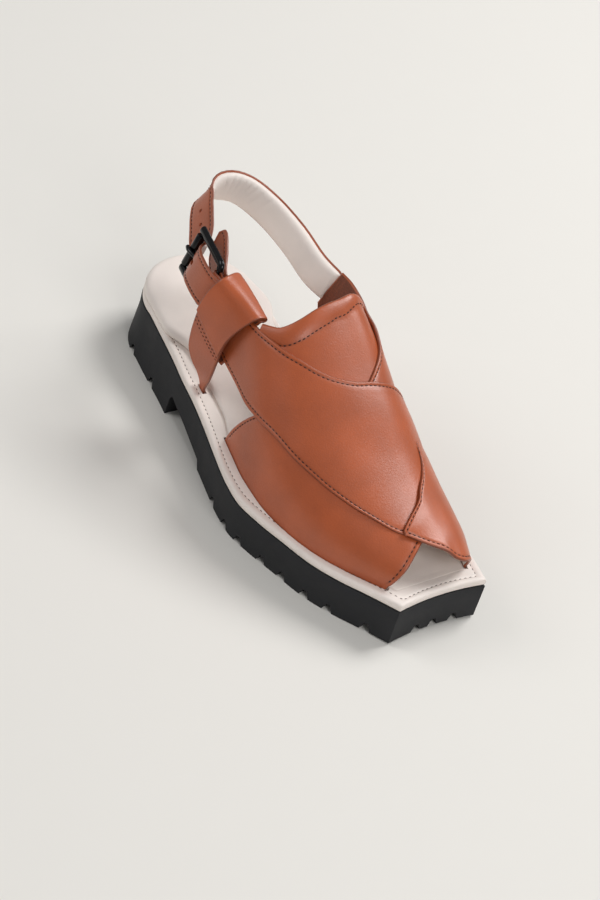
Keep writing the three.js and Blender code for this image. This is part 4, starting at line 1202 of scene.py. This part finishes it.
class CHAPPAL_OT_strap(bpy.types.Operator):
    """Make the heel strap: outer leather, padded cream lining, holes and stitches"""
    bl_idname = "chappal.strap"
    bl_label = "Heel strap"

    def execute(self, context):
        sizes = context.scene.chappal_sizes
        path = StrapPath()

        def surface(u, v):
            return path.spot(u, (v - 0.5) * STRAP_WIDTH, 0.6 + 0 * u)

        leather = Sheet(surface, lambda u, v: path.frame(u)[2], 1.5,
                        [("first", 2.4, 0.02, 0.93), ("second", 2.4, 0.02, 0.93)],
                        lambda u, v, *edges: -0.45 * np.exp(-((u - PAD_END) / 0.003) ** 2))
        strap = leather.piece("strap_leather", cognac_leather(), cream_leather())
        lining = strap_lining(path)
        prong = [(ahead, aside, out) for ahead in (2.3, 14.9) for aside in (-1.55, 1.55) for out in (-8, 9)]
        slot = [buckle_spot(*corner) for corner in prong]
        order = [[0, 1, 3, 2], [4, 6, 7, 5], [0, 4, 5, 1], [2, 3, 7, 6], [0, 2, 6, 4], [1, 5, 7, 3]]
        for piece in (strap, lining):
            tools = [make_piece("prong_slot", slot, order, [])]
            for t in HOLES:
                at, _, face, _ = path.frame(np.array([t]))
                tools.append(drill(at[0], face[0], sizes.hole / MM / 2, 6))
            cut(piece, tools)
            crease(piece.data, 50)
        settle(strap, "strap_leather", "back_strap")
        settle(lining, "footbed_cover")
        across = path.spot(np.full(12, PAD_END), np.linspace(-7, 7, 12), np.full(12, 1.0))
        sew("stitches_strap", [*leather.seam_paths(), across], brown_thread())
        return {"FINISHED"}


def rod(name, points, radii, facing, flat=1.0, sides=24, material=None):
    """A round bar in the buckle's frame along points, each with its radius; flat squeezes it."""
    points = np.asarray(points, float)
    tangent = unit(np.gradient(points, axis=0))
    beside = unit(np.cross(tangent, facing))
    turn = np.linspace(0, 2 * np.pi, sides, endpoint=False)
    rings = []
    for spot, radius, side in zip(points, radii, beside):
        ring = spot + radius * (np.cos(turn)[:, None] * side
                                + flat * np.sin(turn)[:, None] * np.asarray(facing, float))
        rings.append(buckle_spot(ring[:, 0], ring[:, 1], ring[:, 2]))
    return rings


def rounded(points, radius, steps=7):
    """A path with its ends drawn in to round caps: points with a radius at each."""
    points = np.asarray(points, float)
    first, last = unit(points[0] - points[1]), unit(points[-1] - points[-2])
    turn = np.linspace(np.pi / 2, 0.12, steps)[:-1]
    cap = np.sin(np.linspace(0.12, np.pi / 2, steps))[:-1]
    head = [points[0] + first * radius * np.sin(a) * 0.6 for a in turn]
    tail = [points[-1] + last * radius * np.sin(a) * 0.6 for a in turn[::-1]]
    radii = np.r_[radius * cap, np.full(len(points), radius), radius * cap[::-1]]
    return np.vstack([head, points, tail]), radii


def hoop(ahead, low, high, inner, outer, sides=40, soft=0.35):
    """Rings of a tube round the buckle's across axis, its rims rounded."""
    profile = [(inner + soft, low), (outer - soft, low), (outer - 0.1, low + 0.1), (outer, low + soft),
               (outer, high - soft), (outer - 0.1, high - 0.1), (outer - soft, high), (inner + soft, high),
               (inner, high - soft), (inner, low + soft)]
    rings = []
    for a in np.linspace(0, 2 * np.pi, sides, endpoint=False):
        radius, aside = np.array(profile).T
        rings.append(buckle_spot(ahead + radius * np.cos(a), aside, radius * np.sin(a)))
    return rings


def joined(name, bodies, material):
    """Several bodies of one metal part as one mesh."""
    made = [swept(name, rings, [material], closed) for rings, closed in bodies]
    with bpy.context.temp_override(active_object=made[0], selected_editable_objects=made):
        if len(made) > 1:
            bpy.ops.object.join()
    made[0].name = name
    return made[0]


class CHAPPAL_OT_buckle(bpy.types.Operator):
    """Make the buckle: its frame, roller, prong and the leather chape on its pivot bar"""
    bl_idname = "chappal.buckle"
    bl_label = "Buckle"

    def execute(self, context):
        metal = gunmetal()
        radius = FRAME_WIRE / 2 + 0.75
        bodies = []
        for sign in (1, -1):
            side = sign * HALF_FRAME
            turn = np.linspace(0, np.pi / 2, 9)
            bend = [(FRAME_LENGTH - FRAME_CORNER + FRAME_CORNER * np.sin(a),
                     side - sign * FRAME_CORNER * (1 - np.cos(a)), 0) for a in turn]
            line = [(k, side, 0) for k in np.linspace(-1.2, FRAME_LENGTH - FRAME_CORNER - 1, 12)] + bend
            points, radii = rounded(line, radius)
            bodies.append((rod("arm", points, radii, (0, 0, 1), 0.74), False))
        for ahead, reach in ((0, HALF_FRAME), (FRAME_LENGTH, HALF_FRAME - FRAME_CORNER)):
            line = [(ahead, k, 0) for k in np.linspace(-reach, reach, 6)]
            bodies.append((rod("pin", line, np.full(6, 1.0), (0, 0, 1)), False))
        settle(joined("buckle_bars", bodies, metal), "buckle_metal", "buckle_frame")

        span = (FRAME_WIDTH - 2 * FRAME_WIRE - 4 * FIT) / 2
        tube = swept("roller_tube", hoop(0, -span + 0.6, span - 0.6, 1.3, 2.75), [metal], closed=True)
        settle(tube, "buckle_metal", "buckle_roller")

        rest = 2.3 + FIT + 1.1
        line = spline([(-2.1, 0, rest - 0.5), (0.6, 0, rest + 0.1), (3.4, 0, rest - 0.5), (8, 0, 1.5),
                       (15, 0, 1.2), (30, 0, 1)], np.linspace(0, 1, 40))
        points, radii = rounded(line, 1.35)
        tongue = [(rod("tongue", points, radii, (0, 1, 0), 1.0, 20), False),
                  (hoop(FRAME_LENGTH, -1.1, 1.1, 1.3, 2.4, soft=0.3), True)]
        settle(joined("prong_tongue", tongue, metal), "buckle_metal", "buckle_prong")

        reach = HALF_FRAME - FRAME_CORNER - FIT - FRAME_WIRE / 2
        path = np.array([(9, -1.95), (5, -1.95), (2, -1.95), (0, -1.95), (-1.38, -1.38), (-1.95, 0), (-1.38, 1.38),
                         (0, 1.95), (2, 1.45), (5, 0.55), (9, -0.6)])
        for name, low, high in (("chape_low", -reach, -1.4), ("chape_high", 1.4, reach)):
            def surface(u, v, low=low, high=high):
                at = spline(path, u)
                return buckle_spot(FRAME_LENGTH + at[..., 0], mix(low, high, v), at[..., 1])
            leather = Sheet(surface, lambda u, v: np.broadcast_to(OUTWARD, (*u.shape, 3))
                            * np.where(u > 0.7, 1, 0)[..., None], 1.25, step=1.5)
            piece = leather.piece(name, cognac_leather(), suede())
            settle(piece, "strap_leather", *(["buckle_chape"] if name == "chape_low" else []))
        return {"FINISHED"}


VIEW_TARGET = Vector((0.0048, 0.0130, 0.020))
VIEW_BACK = Vector((0.547, -0.528, 0.6494))
VIEW_RIGHT = Vector((0.5255, 0.8206, 0.2249))


def softbox(name, at, target, size, power):
    lamp = bpy.data.lights.new(name, "AREA")
    lamp.shape, lamp.size, lamp.size_y, lamp.energy = "RECTANGLE", size[0], size[1], power
    holder = bpy.data.objects.new(name, lamp)
    holder.location = at
    holder.rotation_euler = (Vector(at) - Vector(target)).to_track_quat("Z", "Y").to_euler()
    bpy.context.collection.objects.link(holder)


class CHAPPAL_OT_stage(bpy.types.Operator):
    """Make the camera, the pale floor and the soft lights"""
    bl_idname = "chappal.stage"
    bl_label = "Camera and stage"

    def execute(self, context):
        back, right = VIEW_BACK.normalized(), VIEW_RIGHT.normalized()
        lens = bpy.data.cameras.new("camera")
        lens.sensor_fit, lens.sensor_height, lens.lens = "VERTICAL", 36, 87.1
        lens.shift_y = -10 / 900
        lens.clip_end = 20
        camera = bpy.data.objects.new("camera", lens)
        turn = Matrix((right, back.cross(right), back)).transposed().to_4x4()
        camera.matrix_world = Matrix.Translation(VIEW_TARGET + back * 1.3) @ turn
        context.collection.objects.link(camera)
        context.scene.camera = camera

        colour = tuple(context.scene.chappal_colours.floor)

        def paint(tree, shader, place):
            paper = add_node(tree, "ShaderNodeTexNoise", {"Vector": place}, {"Scale": 40, "Detail": 3})
            tree.links.new(ramp(tree, paper.outputs["Fac"], shade(colour, 0.99), colour),
                           shader.inputs["Base Color"])
            shader.inputs["Roughness"].default_value = 0.9
            shader.inputs["Specular IOR Level"].default_value = 0.1

        material = finish("pale_paper", paint)
        mesh = bpy.data.meshes.new("floor")
        mesh.from_pydata([(-6, -6, 0), (6, -6, 0), (6, 6, 0), (-6, 6, 0)], [], [(0, 1, 2, 3)])
        mesh.materials.append(material)
        floor = bpy.data.objects.new("floor", mesh)
        context.collection.objects.link(floor)

        world = bpy.data.worlds.new("studio")
        world.use_nodes = True
        world.node_tree.nodes["Background"].inputs["Color"].default_value = (*linear("#f4f5f7"), 1)
        world.node_tree.nodes["Background"].inputs["Strength"].default_value = 0.27
        context.scene.world = world
        softbox("inner_side", (-0.05, 1.4, 1.8), (0, 0, 0.05), (0.95, 0.95), 33)
        softbox("outer_side", (-1.5, -1.6, 1.9), (0, 0, 0.05), (1.3, 1.3), 17)
        softbox("toe_side", (1.5, -0.2, 1.3), (0, 0, 0.05), (0.8, 0.8), 11)
        context.scene.view_settings.view_transform = "Standard"
        return {"FINISHED"}


PIECES = ("outsole", "board", "footbed", "upper", "keeper", "strap", "buckle", "stage")


class CHAPPAL_PT_panel(bpy.types.Panel):
    """Sizes, colours and the pieces that can be made"""
    bl_idname = "CHAPPAL_PT_panel"
    bl_label = "Peshawari chappal"
    bl_space_type = "VIEW_3D"
    bl_region_type = "UI"
    bl_category = "Chappal"

    def draw(self, context):
        for group in (context.scene.chappal_sizes, context.scene.chappal_colours):
            box = self.layout.box()
            for key in group.__annotations__:
                box.prop(group, key)
        for piece in PIECES:
            self.layout.operator("chappal." + piece)


CLASSES = (ChappalSizes, ChappalColours, CHAPPAL_OT_outsole, CHAPPAL_OT_board, CHAPPAL_OT_footbed,
           CHAPPAL_OT_upper, CHAPPAL_OT_keeper, CHAPPAL_OT_strap, CHAPPAL_OT_buckle, CHAPPAL_OT_stage,
           CHAPPAL_PT_panel)


def register():
    for kind in CLASSES:
        bpy.utils.register_class(kind)
    bpy.types.Scene.chappal_sizes = bpy.props.PointerProperty(type=ChappalSizes)
    bpy.types.Scene.chappal_colours = bpy.props.PointerProperty(type=ChappalColours)


def unregister():
    del bpy.types.Scene.chappal_sizes, bpy.types.Scene.chappal_colours
    for kind in reversed(CLASSES):
        bpy.utils.unregister_class(kind)


def main():
    register()
    for piece in ("stage", *PIECES[:-1]):
        getattr(bpy.ops.chappal, piece)()
        print("made", piece, round(time.time() - T0, 1))


if __name__ == "__main__":
    main()
